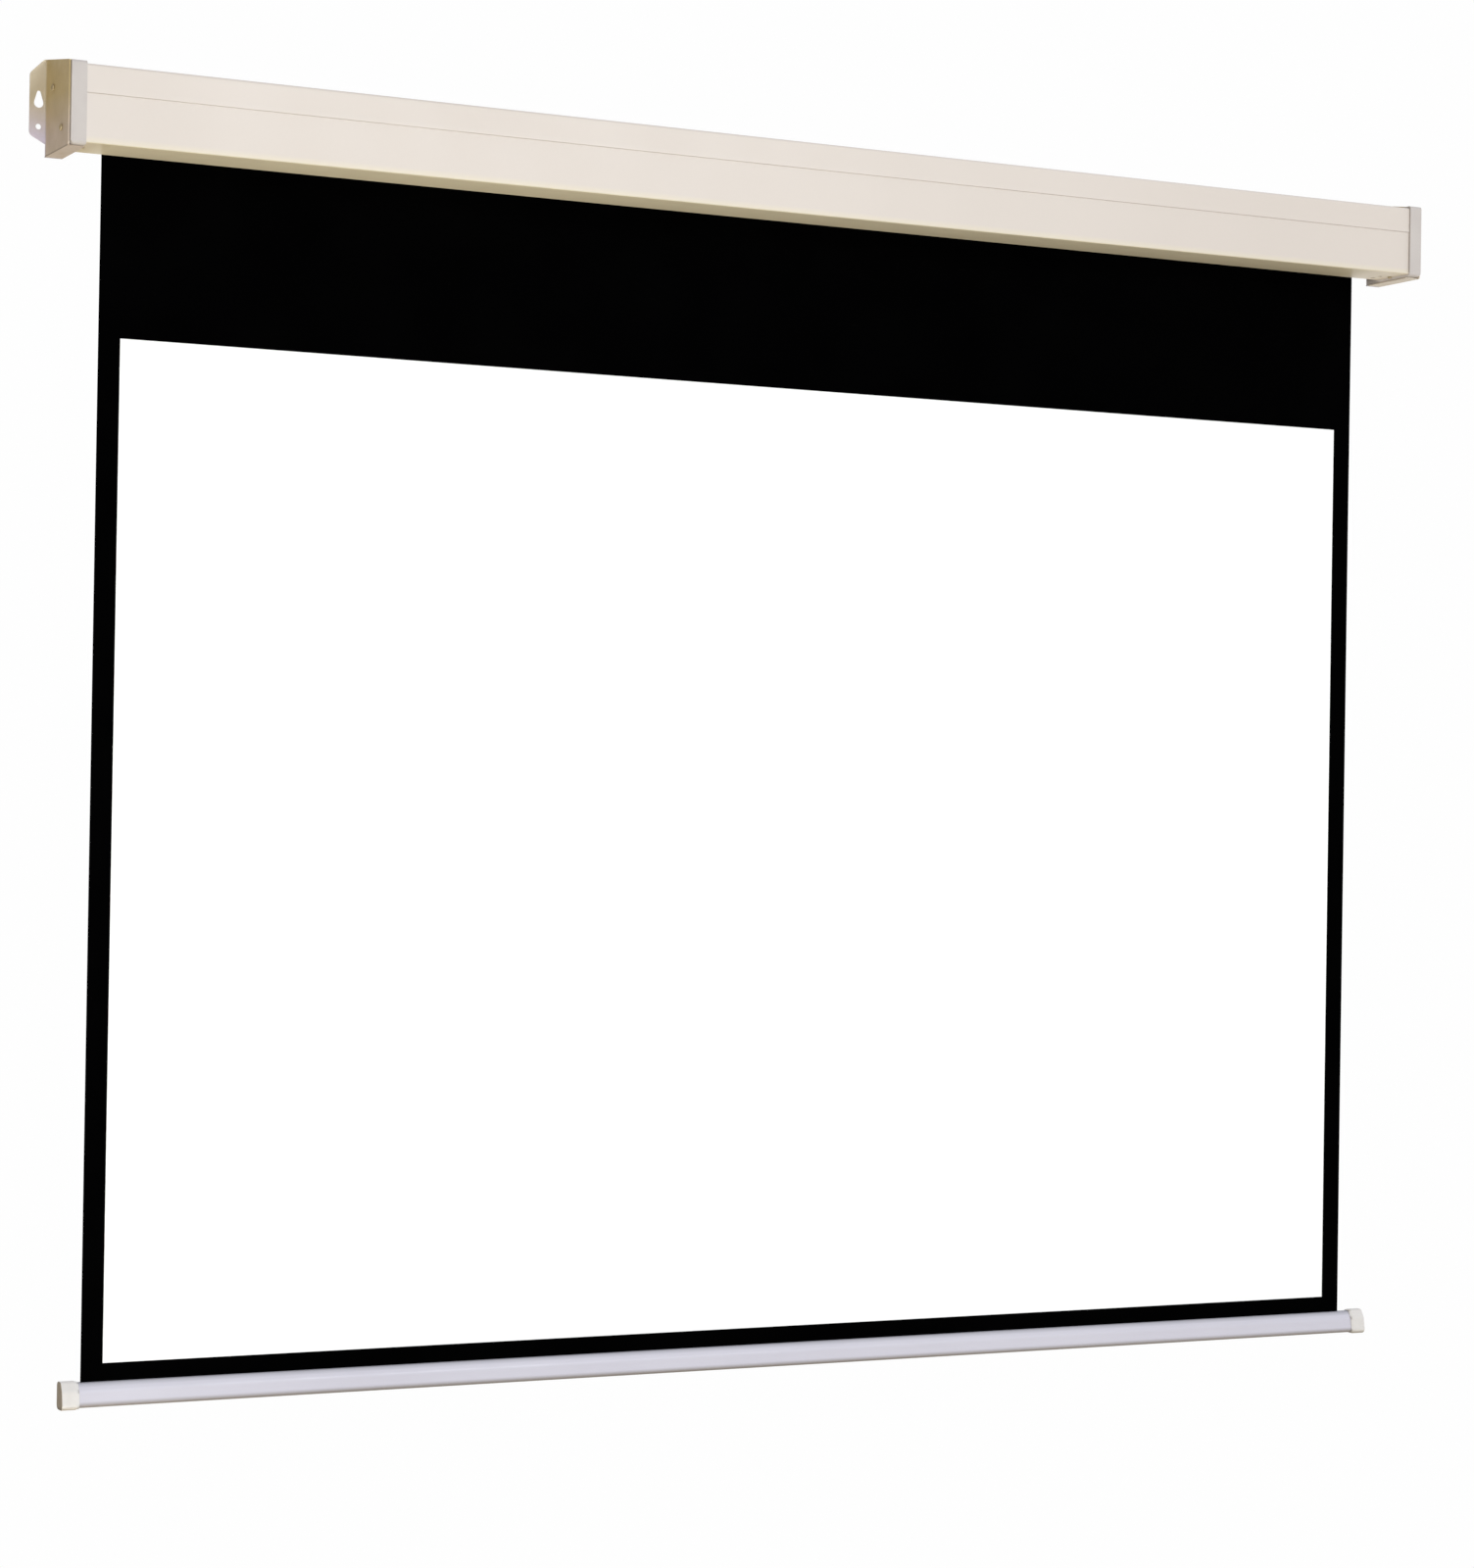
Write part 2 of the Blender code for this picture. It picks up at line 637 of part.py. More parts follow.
def end_cap(name, side):
    """Moulded dish that closes one end, with a plug that fits inside the housing's sheets."""
    outline = box_outline(CAP_FRONT, 0, CAP_BOTTOM, CAP_TOP, (CAP_LOW_CORNER, 0, 0, CAP_CORNER))
    cap = add(name, prism(outline, "X", CAP_INNER, CAP_OUTER), CAP_GREY, side=side)
    from_front = box_outline(0, CAP_OUTER, CAP_BOTTOM, CAP_TOP + SHEET, (0, CAP_END_CORNER, 0, 0))
    tool(cap, "INTERSECT", prism(from_front, "Y", CAP_FRONT - SHEET, SHEET), side=side)
    inset = SHEET + GAP + PLUG_WALL / 2
    front = FRONT + CREASE_STEP + CREASE_FLANGE + SHEET + GAP + PLUG_WALL / 2
    back = -inset
    lip_stop = LIP_EDGE - SHEET - 2 * GAP - GUIDE_WALL
    path = [
        (lip_stop, BOTTOM + inset),
        (front, BOTTOM + inset),
        (front, TOP - inset),
        (back, TOP - inset),
        (back, BOTTOM + BACK_RISE + inset),
    ]
    outline = sheet_outline(path, PLUG_WALL, (PLUG_WALL, PLUG_WALL, PLUG_WALL))
    tool(cap, "UNION", prism(outline, "X", CAP_INNER - PLUG_LENGTH, CAP_INNER + CAP_WALL), side=side)
    pocket = box_outline(CAP_FRONT + CAP_WALL, -CAP_WALL, CAP_BOTTOM + CAP_WALL, CAP_TOP - CAP_WALL)
    tool(cap, "DIFFERENCE", prism(pocket, "X", CAP_INNER + CAP_WALL, CAP_FLOOR), side=side)
    half = PLUG_WALL / 2
    mouth = box_outline(front + half, back - half, BOTTOM + inset + half, TOP - inset - half)
    tool(cap, "DIFFERENCE", prism(mouth, "X", CAP_INNER - GAP, CAP_INNER + CAP_WALL + GAP), side=side)
    for low, high in ((BOTTOM - SHEET, BOTTOM + 2 * inset), (TOP - 2 * inset, TOP + SHEET)):
        hole = turned_z(CASE_SCREW_RADIUS + GAP, low, high, -CASE_SCREW_DEPTH)
        tool(cap, "DIFFERENCE", hole, (side * screw_x(), 0, 0))
    for y, z in bracket_screw_places():
        hole = screw_hole(y, z, PLATE_INNER, CAP_OUTER + CAP_WALL)
        tool(cap, "DIFFERENCE", hole, side=side)
    if side > 0:
        hole = circle(GROMMET_RADIUS + GAP, (-GROMMET_FROM_WALL, GROMMET_HEIGHT), SMALL_SIDES)
        tool(cap, "DIFFERENCE", prism(hole, "X", PLATE_INNER, CAP_OUTER + CAP_WALL))


def bracket_screw_places():
    """The two screws at each end, in the YZ plane."""
    for sign in (-1, 1):
        yield AXIS_Y + sign * BRACKET_SCREW_SPREAD_Y, ROLLER_AXIS_Z + sign * BRACKET_SCREW_SPREAD_Z


def screw_hole(y, z, low, high):
    return prism(circle(BRACKET_SCREW_RADIUS + GAP, (y, z), SMALL_SIDES), "X", low, high)


def wall_bracket(name, side):
    """Bent steel bracket: an ear on the wall, a side plate over the end cap and a foot all along under it."""
    middle = BRACKET_SHEET / 2
    side_x = BRACKET_INNER + middle
    plan = [(EAR_OUTER, -middle), (side_x, -middle), (side_x, BRACKET_FRONT)]
    angle = prism(sheet_outline(plan, BRACKET_SHEET, (BRACKET_BEND,)), "Z", FOOT_BOTTOM, EAR_TOP)
    bracket = add(name, angle, BRACKET_PAINT, side=side)
    edge = BRACKET_INNER - BRACKET_SHEET
    from_front = [
        (edge, FOOT_BOTTOM - middle),
        (BRACKET_OUTER, FOOT_BOTTOM - middle),
        (BRACKET_OUTER, EAR_LOW),
        (EAR_OUTER, EAR_LOW + EAR_LOW_CHAMFER_HIGH),
        (EAR_OUTER, EAR_TOP - EAR_TOP_CHAMFER),
        (EAR_OUTER - EAR_TOP_CHAMFER, EAR_TOP),
        (edge, EAR_TOP + middle),
    ]
    radii = (0, 0, 0, EAR_CORNER, EAR_CORNER, EAR_CORNER, 0)
    tool(bracket, "INTERSECT", prism(rounded(from_front, radii), "Y", BRACKET_FRONT * 2, middle), side=side)
    from_side = [
        (middle, FOOT_BOTTOM),
        (middle, EAR_TOP),
        (-BRACKET_SHEET, EAR_TOP),
        (BRACKET_FRONT, CAP_TOP),
        (BRACKET_FRONT, FOOT_BOTTOM),
    ]
    radii = (0, 0, 0, BRACKET_CORNER, BRACKET_CORNER)
    wide = (edge, EAR_OUTER + BRACKET_SHEET)
    tool(bracket, "INTERSECT", prism(rounded(from_side, radii), "X", *wide), side=side)
    foot_front = BRACKET_FRONT + BRACKET_CORNER + FOOT_SETBACK
    foot = box((BRACKET_OUTER - middle - FOOT_WIDTH, foot_front, FOOT_BOTTOM), (BRACKET_OUTER, 0, FOOT_TOP))
    tool(bracket, "UNION", foot, side=side)
    keyhole = pear(KEYHOLE_WIDE_RADIUS, KEYHOLE_NARROW_RADIUS, KEYHOLE_RISE)
    place = (side * (EAR_OUTER - KEYHOLE_FROM_EDGE), 0, KEYHOLE_HEIGHT)
    tool(bracket, "DIFFERENCE", prism(keyhole, "Y", -2 * BRACKET_SHEET, BRACKET_SHEET), place, side)
    round_hole = circle(ROUND_HOLE_RADIUS, (0, ROUND_HOLE_HEIGHT), SMALL_SIDES)
    place = (side * (EAR_OUTER - KEYHOLE_FROM_EDGE), 0, 0)
    tool(bracket, "DIFFERENCE", prism(round_hole, "Y", -2 * BRACKET_SHEET, BRACKET_SHEET), place, side)
    for y, z in bracket_screw_places():
        hole = screw_hole(y, z, CAP_FLOOR, BRACKET_OUTER + CAP_WALL)
        tool(bracket, "DIFFERENCE", hole, side=side)
    if side > 0:
        hole = circle(GROMMET_RADIUS + GAP, (-GROMMET_FROM_WALL, GROMMET_HEIGHT), SMALL_SIDES)
        tool(bracket, "DIFFERENCE", prism(hole, "X", CAP_FLOOR, BRACKET_OUTER + CAP_WALL))


def housing_screws():
    """Screws through bracket, cap and roller bracket at each end, and through the sheets into the plugs."""
    for end, side in (("left", -1), ("right", 1)):
        for number, (y, z) in enumerate(bracket_screw_places(), 1):
            screw = pan_screw(
                BRACKET_SCREW_RADIUS, BRACKET_SCREW_LENGTH, BRACKET_SCREW_HEAD, BRACKET_SCREW_HEAD_HEIGHT
            )
            seat = (side * (BRACKET_OUTER + GAP), y, z)
            add(f"bracket_screw_{end}_{number}", screw, SCREW, seat, side=side)
        for kind, up in (("cover", -1), ("housing", 1)):
            screw = pan_screw(CASE_SCREW_RADIUS, CASE_SCREW_LENGTH, CASE_SCREW_HEAD, CASE_SCREW_HEAD_HEIGHT)
            seat = (side * screw_x(), -CASE_SCREW_DEPTH, up * (CASE_HEIGHT / 2 + GAP))
            obj = add(f"{kind}_screw_{end}", screw, SCREW, seat)
            obj.rotation_euler = (0, -up * math.pi / 2, 0)


# Roller and what carries it


def roller_bracket(name, side, hole):
    """Steel plate screwed into the end cap. hole is the outline that the pin or the motor's peg fits."""
    outline = box_outline(
        AXIS_Y - PLATE_HALF_DEPTH,
        AXIS_Y + PLATE_HALF_DEPTH,
        ROLLER_AXIS_Z - PLATE_HALF_HEIGHT,
        ROLLER_AXIS_Z + PLATE_HALF_HEIGHT,
        PLATE_CORNER,
    )
    plate = add(name, prism(outline, "X", PLATE_INNER, PLATE_OUTER), STEEL, side=side)
    tool(plate, "DIFFERENCE", prism(hole, "X", PLATE_INNER - SHEET, PLATE_OUTER + SHEET), (0, *AXIS.yz), side)
    for y, z in bracket_screw_places():
        bore = screw_hole(y, z, PLATE_INNER - SHEET, CAP_FLOOR)
        tool(plate, "DIFFERENCE", bore, side=side)


def idler_end(roller):
    """Fixed pin on the left bracket, and the bush and plug that turn on it."""
    roller_bracket("idler_bracket", -1, circle(PIN_TAIL_RADIUS + GAP, sides=SMALL_SIDES))
    collar = PLATE_INNER - GAP - PIN_COLLAR_LENGTH
    plug_outer = TUBE_END + GAP + PLUG_FLANGE
    plug_inner = TUBE_END - PLUG_INSIDE
    profile = [
        (plug_outer - PIN_REACH, 0),
        (plug_outer - PIN_REACH, PIN_RADIUS),
        (collar, PIN_RADIUS),
        (collar, PIN_COLLAR_RADIUS),
        (PLATE_INNER - GAP, PIN_COLLAR_RADIUS),
        (PLATE_INNER - GAP, PIN_TAIL_RADIUS),
        (PLATE_OUTER, PIN_TAIL_RADIUS),
        (PLATE_OUTER, 0),
    ]
    add("idler_pin", turned(profile), STEEL, AXIS, side=-1)
    bore = BUSH_RADIUS + GAP
    profile = [
        (plug_inner, bore),
        (plug_inner, IN_TUBE),
        (TUBE_END + GAP, IN_TUBE),
        (TUBE_END + GAP, ROLLER_RADIUS),
        (plug_outer, ROLLER_RADIUS),
        (plug_outer, bore),
    ]
    add("idler_plug", turned(profile), NATURAL_PLASTIC, parent=roller, side=-1)
    bush_outer = plug_outer - (plug_outer - plug_inner - BUSH_LENGTH) / 2
    inner = PIN_RADIUS + GAP
    profile = [
        (bush_outer - BUSH_LENGTH, inner),
        (bush_outer - BUSH_LENGTH, BUSH_RADIUS),
        (bush_outer, BUSH_RADIUS),
        (bush_outer, inner),
    ]
    add("idler_bush", turned(profile), BRASS, parent=roller, side=-1)


def roller_tube(roller):
    profile = [
        (-TUBE_END, TUBE_BORE),
        (-TUBE_END, ROLLER_RADIUS),
        (TUBE_END, ROLLER_RADIUS),
        (TUBE_END, TUBE_BORE),
    ]
    add("roller_tube", turned(profile), STEEL, parent=roller)


def wrap_radius(turn):
    """Radius of the wound fabric's middle, a number of turns before it leaves the roller."""
    return WRAP_END - WRAP_PITCH * turn


def wound_fabric(roller):
    """The turns that stay on the roller, which leave it at its back, and the tape that starts them."""
    steps = round(WRAP_TURNS * WRAP_STEPS_A_TURN)
    outer, inner = [], []
    for step in range(steps + 1):
        turn = WRAP_TURNS * step / steps
        angle = 2 * math.pi * turn
        for points, offset in ((outer, FABRIC_THICKNESS / 2), (inner, -FABRIC_THICKNESS / 2)):
            radius = wrap_radius(turn) + offset
            points.append((radius * math.cos(angle), radius * math.sin(angle)))
    half = FABRIC_WIDTH / 2
    add("wound_fabric", prism(outer + inner[::-1], "X", -half, half), BLACK, parent=roller)
    start = 2 * math.pi * WRAP_TURNS
    low = ROLLER_RADIUS + GAP
    high = low + TAPE_THICKNESS
    arc = [start - TAPE_ARC * step / 6 for step in range(7)]
    outline = [(low * math.cos(a), low * math.sin(a)) for a in arc]
    outline += [(high * math.cos(a), high * math.sin(a)) for a in arc[::-1]]
    add("fabric_tape", prism(outline, "X", -half, half), TAPE, parent=roller)


# Tubular motor in the right end of the roller


def motor_case():
    """Head on the right bracket, and the fixed tube that reaches into the roller."""
    hole = box_outline(-PEG_HALF - GAP, PEG_HALF + GAP, -PEG_HALF - GAP, PEG_HALF + GAP)
    roller_bracket("motor_bracket", 1, hole)
    spigot = IN_MOTOR
    profile = [
        (SPIGOT_END, 0),
        (SPIGOT_END, spigot),
        (HEAD_INNER, spigot),
        (HEAD_INNER, HEAD_RADIUS),
        (HEAD_OUTER, HEAD_RADIUS),
        (HEAD_OUTER, 0),
    ]
    head = add("motor_head", turned(profile), DARK_PLASTIC, AXIS)
    square = box_outline(-PEG_HALF, PEG_HALF, -PEG_HALF, PEG_HALF)
    tool(head, "UNION", prism(square, "X", HEAD_OUTER - PEG_HALF, PLATE_OUTER), AXIS)
    for sign in (-1, 1):
        round_hole = circle(ADJUSTER_RADIUS + GAP, sides=SMALL_SIDES)
        pocket = prism(round_hole, "Z", -HEAD_RADIUS, adjuster_top() + GAP)
        place = AXIS + Vector((adjuster_x(), sign * ADJUSTER_FROM_AXIS, 0))
        tool(head, "DIFFERENCE", pocket, place)
    profile = [
        (NOSE_START, MOTOR_BORE),
        (NOSE_START, MOTOR_RADIUS),
        (HEAD_INNER - GAP, MOTOR_RADIUS),
        (HEAD_INNER - GAP, MOTOR_BORE),
    ]
    add("motor_tube", turned(profile), STEEL, AXIS)


def adjuster_top():
    """Upper end of the limit adjusters, from the roller's axis."""
    skin = math.sqrt(HEAD_RADIUS**2 - (ADJUSTER_FROM_AXIS - ADJUSTER_RADIUS) ** 2)
    return ADJUSTER_LENGTH - skin - ADJUSTER_PROUD


def limit_adjusters():
    """Two socket screws in the head, one for each end of the bar's travel."""
    for name, sign, look in (("limit_screw_up", -1, YELLOW), ("limit_screw_down", 1, PALE)):
        low = adjuster_top() - ADJUSTER_LENGTH
        place = AXIS + Vector((adjuster_x(), sign * ADJUSTER_FROM_AXIS, 0))
        body = prism(circle(ADJUSTER_RADIUS, sides=SMALL_SIDES), "Z", low, low + ADJUSTER_LENGTH)
        screw = add(name, body, look, place)
        socket = prism(circle(SOCKET_RADIUS, sides=6), "Z", low - GAP, low + SOCKET_DEPTH)
        tool(screw, "DIFFERENCE", socket, place)


def crown_and_wheel(roller):
    """The crown turns on the motor tube at its head, and the drive wheel turns the roller."""
    profile = [
        (TUBE_END - CROWN_DEPTH, MOTOR_RADIUS + GAP),
        (TUBE_END - CROWN_DEPTH, IN_TUBE),
        (TUBE_END + GAP, IN_TUBE),
        (TUBE_END + GAP, ROLLER_RADIUS),
        (TUBE_END + CROWN_FLANGE, ROLLER_RADIUS),
        (TUBE_END + CROWN_FLANGE, MOTOR_RADIUS + GAP),
    ]
    add("crown_ring", turned(profile), NATURAL_PLASTIC, parent=roller)
    profile = [
        (WHEEL_START, OUTPUT_RADIUS + GAP),
        (WHEEL_START, IN_TUBE),
        (WHEEL_END, IN_TUBE),
        (WHEEL_END, OUTPUT_RADIUS + GAP),
    ]
    add("drive_wheel", turned(profile), NATURAL_PLASTIC, parent=roller)


def motor_inside():
    """Switches, board, capacitor, stator and end bells, each seated in the motor tube."""
    wide, high = IN_MOTOR * 0.8, IN_MOTOR * 0.6
    outline = box_outline(-wide, wide, -high, high, SHEET)
    block = prism(outline, "X", LIMIT_END - LIMIT_BLOCK_LENGTH, LIMIT_END)
    add("limit_switch_block", block, DARK_PLASTIC, AXIS)

    half = math.sqrt(IN_MOTOR**2 - (BOARD_OFFSET + BOARD_THICKNESS) ** 2)
    low, high = -BOARD_OFFSET - BOARD_THICKNESS, -BOARD_OFFSET
    start = BOARD_END - BOARD_LENGTH
    board = add("circuit_board", box((start, -half, low), (BOARD_END, half, high)), BOARD, AXIS)
    parts_on_board = ((0.15, 0.20, 0.45, 0.010), (0.45, 0.15, 0.30, 0.007), (0.72, 0.2, 0.5, 0.012))
    for place, length, width, height in parts_on_board:
        left = start + place * BOARD_LENGTH
        right = left + length * BOARD_LENGTH
        part = box((left, -width * half, high - SHEET), (right, width * half, high + height))
        tool(board, "UNION", part, AXIS)

    profile = [
        (CAPACITOR_END - CAPACITOR_LENGTH, 0),
        (CAPACITOR_END - CAPACITOR_LENGTH, CAPACITOR_RADIUS),
        (CAPACITOR_END, CAPACITOR_RADIUS),
        (CAPACITOR_END, 0),
    ]
    drop = IN_MOTOR - CAPACITOR_RADIUS
    add("capacitor", turned(profile, sides=24), FOIL, AXIS - Vector((0, 0, drop)))

    for name, end in (("rear_end_bell", REAR_BELL_END), ("front_end_bell", FRONT_BELL_END)):
        bore = SHAFT_RADIUS + GAP
        profile = [(end - BELL_LENGTH, bore), (end - BELL_LENGTH, IN_MOTOR), (end, IN_MOTOR), (end, bore)]
        add(name, turned(profile), NATURAL_PLASTIC, AXIS)

    bore = ROTOR_RADIUS + AIR_GAP
    start = STATOR_END - STATOR_LENGTH
    profile = [(start, bore), (start, IN_MOTOR), (STATOR_END, IN_MOTOR), (STATOR_END, bore)]
    add("stator", turned(profile), IRON, AXIS)

    bore = OUTPUT_RADIUS + GAP
    profile = [(NOSE_START, bore), (NOSE_START, IN_MOTOR), (NOSE_END, IN_MOTOR), (NOSE_END, bore)]
    add("gearbox_nose", turned(profile), BRASS, AXIS)


def rotor_pieces(rotor):
    """Rotor with its shaft, the brake disc behind it and the sun gear in front of it."""
    start = STATOR_END - STATOR_LENGTH
    sun_start = PLANETS_END - PLANET_LENGTH
    profile = [
        (sun_start, 0),
        (sun_start, SUN_SEAT_RADIUS),
        (GEARS_END, SUN_SEAT_RADIUS),
        (GEARS_END, SHAFT_RADIUS),
        (start + BELL_LENGTH / 4, SHAFT_RADIUS),
        (start + BELL_LENGTH / 4, ROTOR_RADIUS),
        (STATOR_END - BELL_LENGTH / 4, ROTOR_RADIUS),
        (STATOR_END - BELL_LENGTH / 4, SHAFT_RADIUS),
        (BRAKE_END, SHAFT_RADIUS),
        (BRAKE_END, 0),
    ]
    add("rotor", turned(profile, sides=24), IRON, parent=rotor)
    bore = SHAFT_RADIUS + GAP
    start = BRAKE_END - BRAKE_THICKNESS
    profile = [(start, bore), (start, BRAKE_RADIUS), (BRAKE_END, BRAKE_RADIUS), (BRAKE_END, bore)]
    add("brake_disc", turned(profile, sides=24), DARK_PLASTIC, parent=rotor)

    outline = gear_outline(SUN_TEETH, sun_phase(), -BACKLASH, *tooth_radii(SUN_TEETH))
    sun = add("sun_gear", prism(outline, "X", sun_start, PLANETS_END), BRASS, parent=rotor)
    bore = circle(SUN_SEAT_RADIUS + GAP, sides=SMALL_SIDES)
    tool(sun, "DIFFERENCE", prism(bore, "X", sun_start - GAP, PLANETS_END + GAP))


def tooth_radii(teeth):
    """Root and tip radius of an outer gear."""
    pitch = MODULE * teeth / 2
    return pitch - DEDENDUM * MODULE, pitch + ADDENDUM * MODULE


def sun_phase():
    return math.pi / 2


def planet_angle(index):
    """Direction from the axis to one planet, from +Y towards +Z."""
    return math.pi / 2 + 2 * math.pi * index / PLANETS


def planet_phase(index):
    """Angle of one tooth of the planet, so that it falls in a gap of the sun gear."""
    angle = planet_angle(index)
    sun_share = (sun_phase() - angle) * SUN_TEETH / (2 * math.pi)
    return angle + math.pi - 2 * math.pi / PLANET_TEETH * (sun_share + 0.5)


def ring_phase():
    """Angle of one gap of the ring gear, so that it holds a tooth of the first planet."""
    angle = planet_angle(0)
    return angle + (planet_phase(0) - angle) * PLANET_TEETH / RING_TEETH


def gearbox(roller):
    """Fixed ring gear, three planets on the carrier's pins, and the carrier with the output shaft."""
    profile = [(GEARS_START, 0), (GEARS_START, IN_MOTOR), (GEARS_END, IN_MOTOR), (GEARS_END, 0)]
    ring = add("ring_gear", turned(profile, sides=2 * ROUND_SIDES), BRASS, AXIS)
    pitch = MODULE * RING_TEETH / 2
    radii = (pitch - ADDENDUM * MODULE, pitch + DEDENDUM * MODULE)
    teeth = gear_outline(RING_TEETH, ring_phase(), BACKLASH, *radii)
    tool(ring, "DIFFERENCE", prism(teeth, "X", GEARS_START - SHEET, GEARS_END + SHEET), AXIS)

    profile = [
        (WHEEL_START - OUTPUT_TAIL, 0),
        (WHEEL_START - OUTPUT_TAIL, OUTPUT_RADIUS),
        (CARRIER_END - CARRIER_THICKNESS, OUTPUT_RADIUS),
        (CARRIER_END - CARRIER_THICKNESS, CARRIER_RADIUS),
        (CARRIER_END, CARRIER_RADIUS),
        (CARRIER_END, 0),
    ]
    carrier = add("output_carrier", turned(profile), STEEL, parent=roller)
    for index in range(PLANETS):
        angle = planet_angle(index)
        spot = (PLANET_ORBIT * math.cos(angle), PLANET_ORBIT * math.sin(angle))
        pin = circle(PLANET_PIN_RADIUS, spot, SMALL_SIDES)
        start = CARRIER_END - CARRIER_THICKNESS / 2
        tool(carrier, "UNION", prism(pin, "X", start, PLANETS_END + PLANET_PIN_MARGIN))
        axis = empty(f"planet_axis_{index + 1}", (0, *spot))
        axis.parent = roller
        outline = gear_outline(PLANET_TEETH, planet_phase(index), -BACKLASH, *tooth_radii(PLANET_TEETH))
        teeth = prism(outline, "X", PLANETS_END - PLANET_LENGTH, PLANETS_END)
        planet = add(f"planet_gear_{index + 1}", teeth, BRASS, parent=axis)
        bore = circle(PLANET_PIN_RADIUS + GAP, sides=SMALL_SIDES)
        start = PLANETS_END - PLANET_LENGTH - GAP
        tool(planet, "DIFFERENCE", prism(bore, "X", start, PLANETS_END + GAP))


# Wiring inlet in the right end


def wiring():
    """Grommet through the right cap and bracket, and the terminal block on the housing's back."""
    inner = CAP_FLOOR - GAP - GROMMET_FLANGE
    outer = BRACKET_OUTER + GAP + GROMMET_FLANGE
    wide = GROMMET_RADIUS + GROMMET_FLANGE
    profile = [
        (inner, GROMMET_BORE),
        (inner, wide),
        (CAP_FLOOR - GAP, wide),
        (CAP_FLOOR - GAP, GROMMET_RADIUS),
        (BRACKET_OUTER + GAP, GROMMET_RADIUS),
        (BRACKET_OUTER + GAP, wide),
        (outer, wide),
        (outer, GROMMET_BORE),
    ]
    add("cable_grommet", turned(profile, sides=24), RUBBER, (0, -GROMMET_FROM_WALL, GROMMET_HEIGHT))
    back = -SHEET - GAP
    end = CAP_INNER - PLUG_LENGTH - TERMINAL_TO_CAP
    low = (end - TERMINAL_LENGTH, back - TERMINAL_DEPTH, TERMINAL_LEVEL - TERMINAL_HEIGHT / 2)
    high = (end, back, TERMINAL_LEVEL + TERMINAL_HEIGHT / 2)
    block = add("terminal_block", box(low, high), PALE)
    for index in range(3):
        x = low[0] + TERMINAL_LENGTH * (index + 0.5) / 3
        hole = circle(CASE_SCREW_RADIUS, (x, TERMINAL_LEVEL), 8)
        tool(block, "DIFFERENCE", prism(hole, "Y", low[1] - SHEET, low[1] + CAP_WALL))


# Fabric, all in one plane behind the slot's front edge


def hanging_fabric():
    """Black masking with the drop above and a border down each side, and the white picture panel in it."""
    half = FABRIC_WIDTH / 2
    picture = half - SIDE_BORDER_WIDTH
    top = ROLLER_AXIS_Z - GAP
    low = BORDER_TOP + GAP
    masking = [
        (-half, low),
        (-picture, low),
        (-picture, PICTURE_TOP),
        (picture, PICTURE_TOP),
        (picture, low),
        (half, low),
        (half, top),
        (-half, top),
    ]
    front, back = FABRIC_Y - FABRIC_THICKNESS / 2, FABRIC_Y + FABRIC_THICKNESS / 2
    add("masking_fabric", prism(masking, "Y", front, back), BLACK)
    panel = box_outline(-picture + GAP, picture - GAP, low, PICTURE_TOP - GAP)
    add("picture_panel", prism(panel, "Y", front, back), WHITE)


def bar_corners():
    """The corners of the weight bar's section, about the fabric and the bar's middle height."""
    half = BAR_HEIGHT / 2
    return [
        (-BAR_LOW_FRONT, -half),
        (BAR_BACK, -half),
        (BAR_BACK, half),
        (-BAR_TOP_FRONT, half),
        (-BAR_SHOULDER_FRONT, half - BAR_SHOULDER_DROP),
    ]


def bar_outline(grow=0.0):
    radii = (BAR_LOW_CORNER, BAR_LOW_CORNER, BAR_TOP_CORNER, BAR_TOP_CORNER, BAR_SHOULDER_CORNER)
    return rounded(grown(bar_corners(), grow), [radius + grow for radius in radii])


def weight_bar(bar):
    """Extruded bar with a slot and a round pocket for the fabric's hem, and a hollow below them."""
    half = BAR_LENGTH / 2 - BAR_CAP_END - GAP
    body = add("weight_bar", prism(bar_outline(), "X", -half, half), LAVENDER, parent=bar)
    long = (-half - BAR_CAP_END, half + BAR_CAP_END)
    slot = box_outline(-BAR_SLOT / 2, BAR_SLOT / 2, POCKET_Z, BAR_HEIGHT / 2 + BAR_SLOT)
    tool(body, "DIFFERENCE", prism(slot, "X", *long))
    tool(body, "DIFFERENCE", prism(circle(BAR_POCKET_RADIUS, (0, POCKET_Z), SMALL_SIDES), "X", *long))
    hollow = cut_level(grown(bar_corners(), -BAR_WALL), POCKET_Z - BAR_POCKET_RADIUS - BAR_WALL)
    tool(body, "DIFFERENCE", prism(rounded(hollow, BAR_LOW_CORNER - BAR_WALL), "X", *long))

    end = BAR_LENGTH / 2
    start = end - BAR_CAP_LENGTH
    for name, side in (("bar_cap_left", -1), ("bar_cap_right", 1)):
        grow = BAR_CAP_WALL + GAP
        cap = add(name, prism(bar_outline(grow), "X", start, end), BAR_CAP_GREY, parent=bar, side=side)
        inside = prism(bar_outline(GAP), "X", start - BAR_CAP_END, end - BAR_CAP_END)
        tool(cap, "DIFFERENCE", inside, side=side)


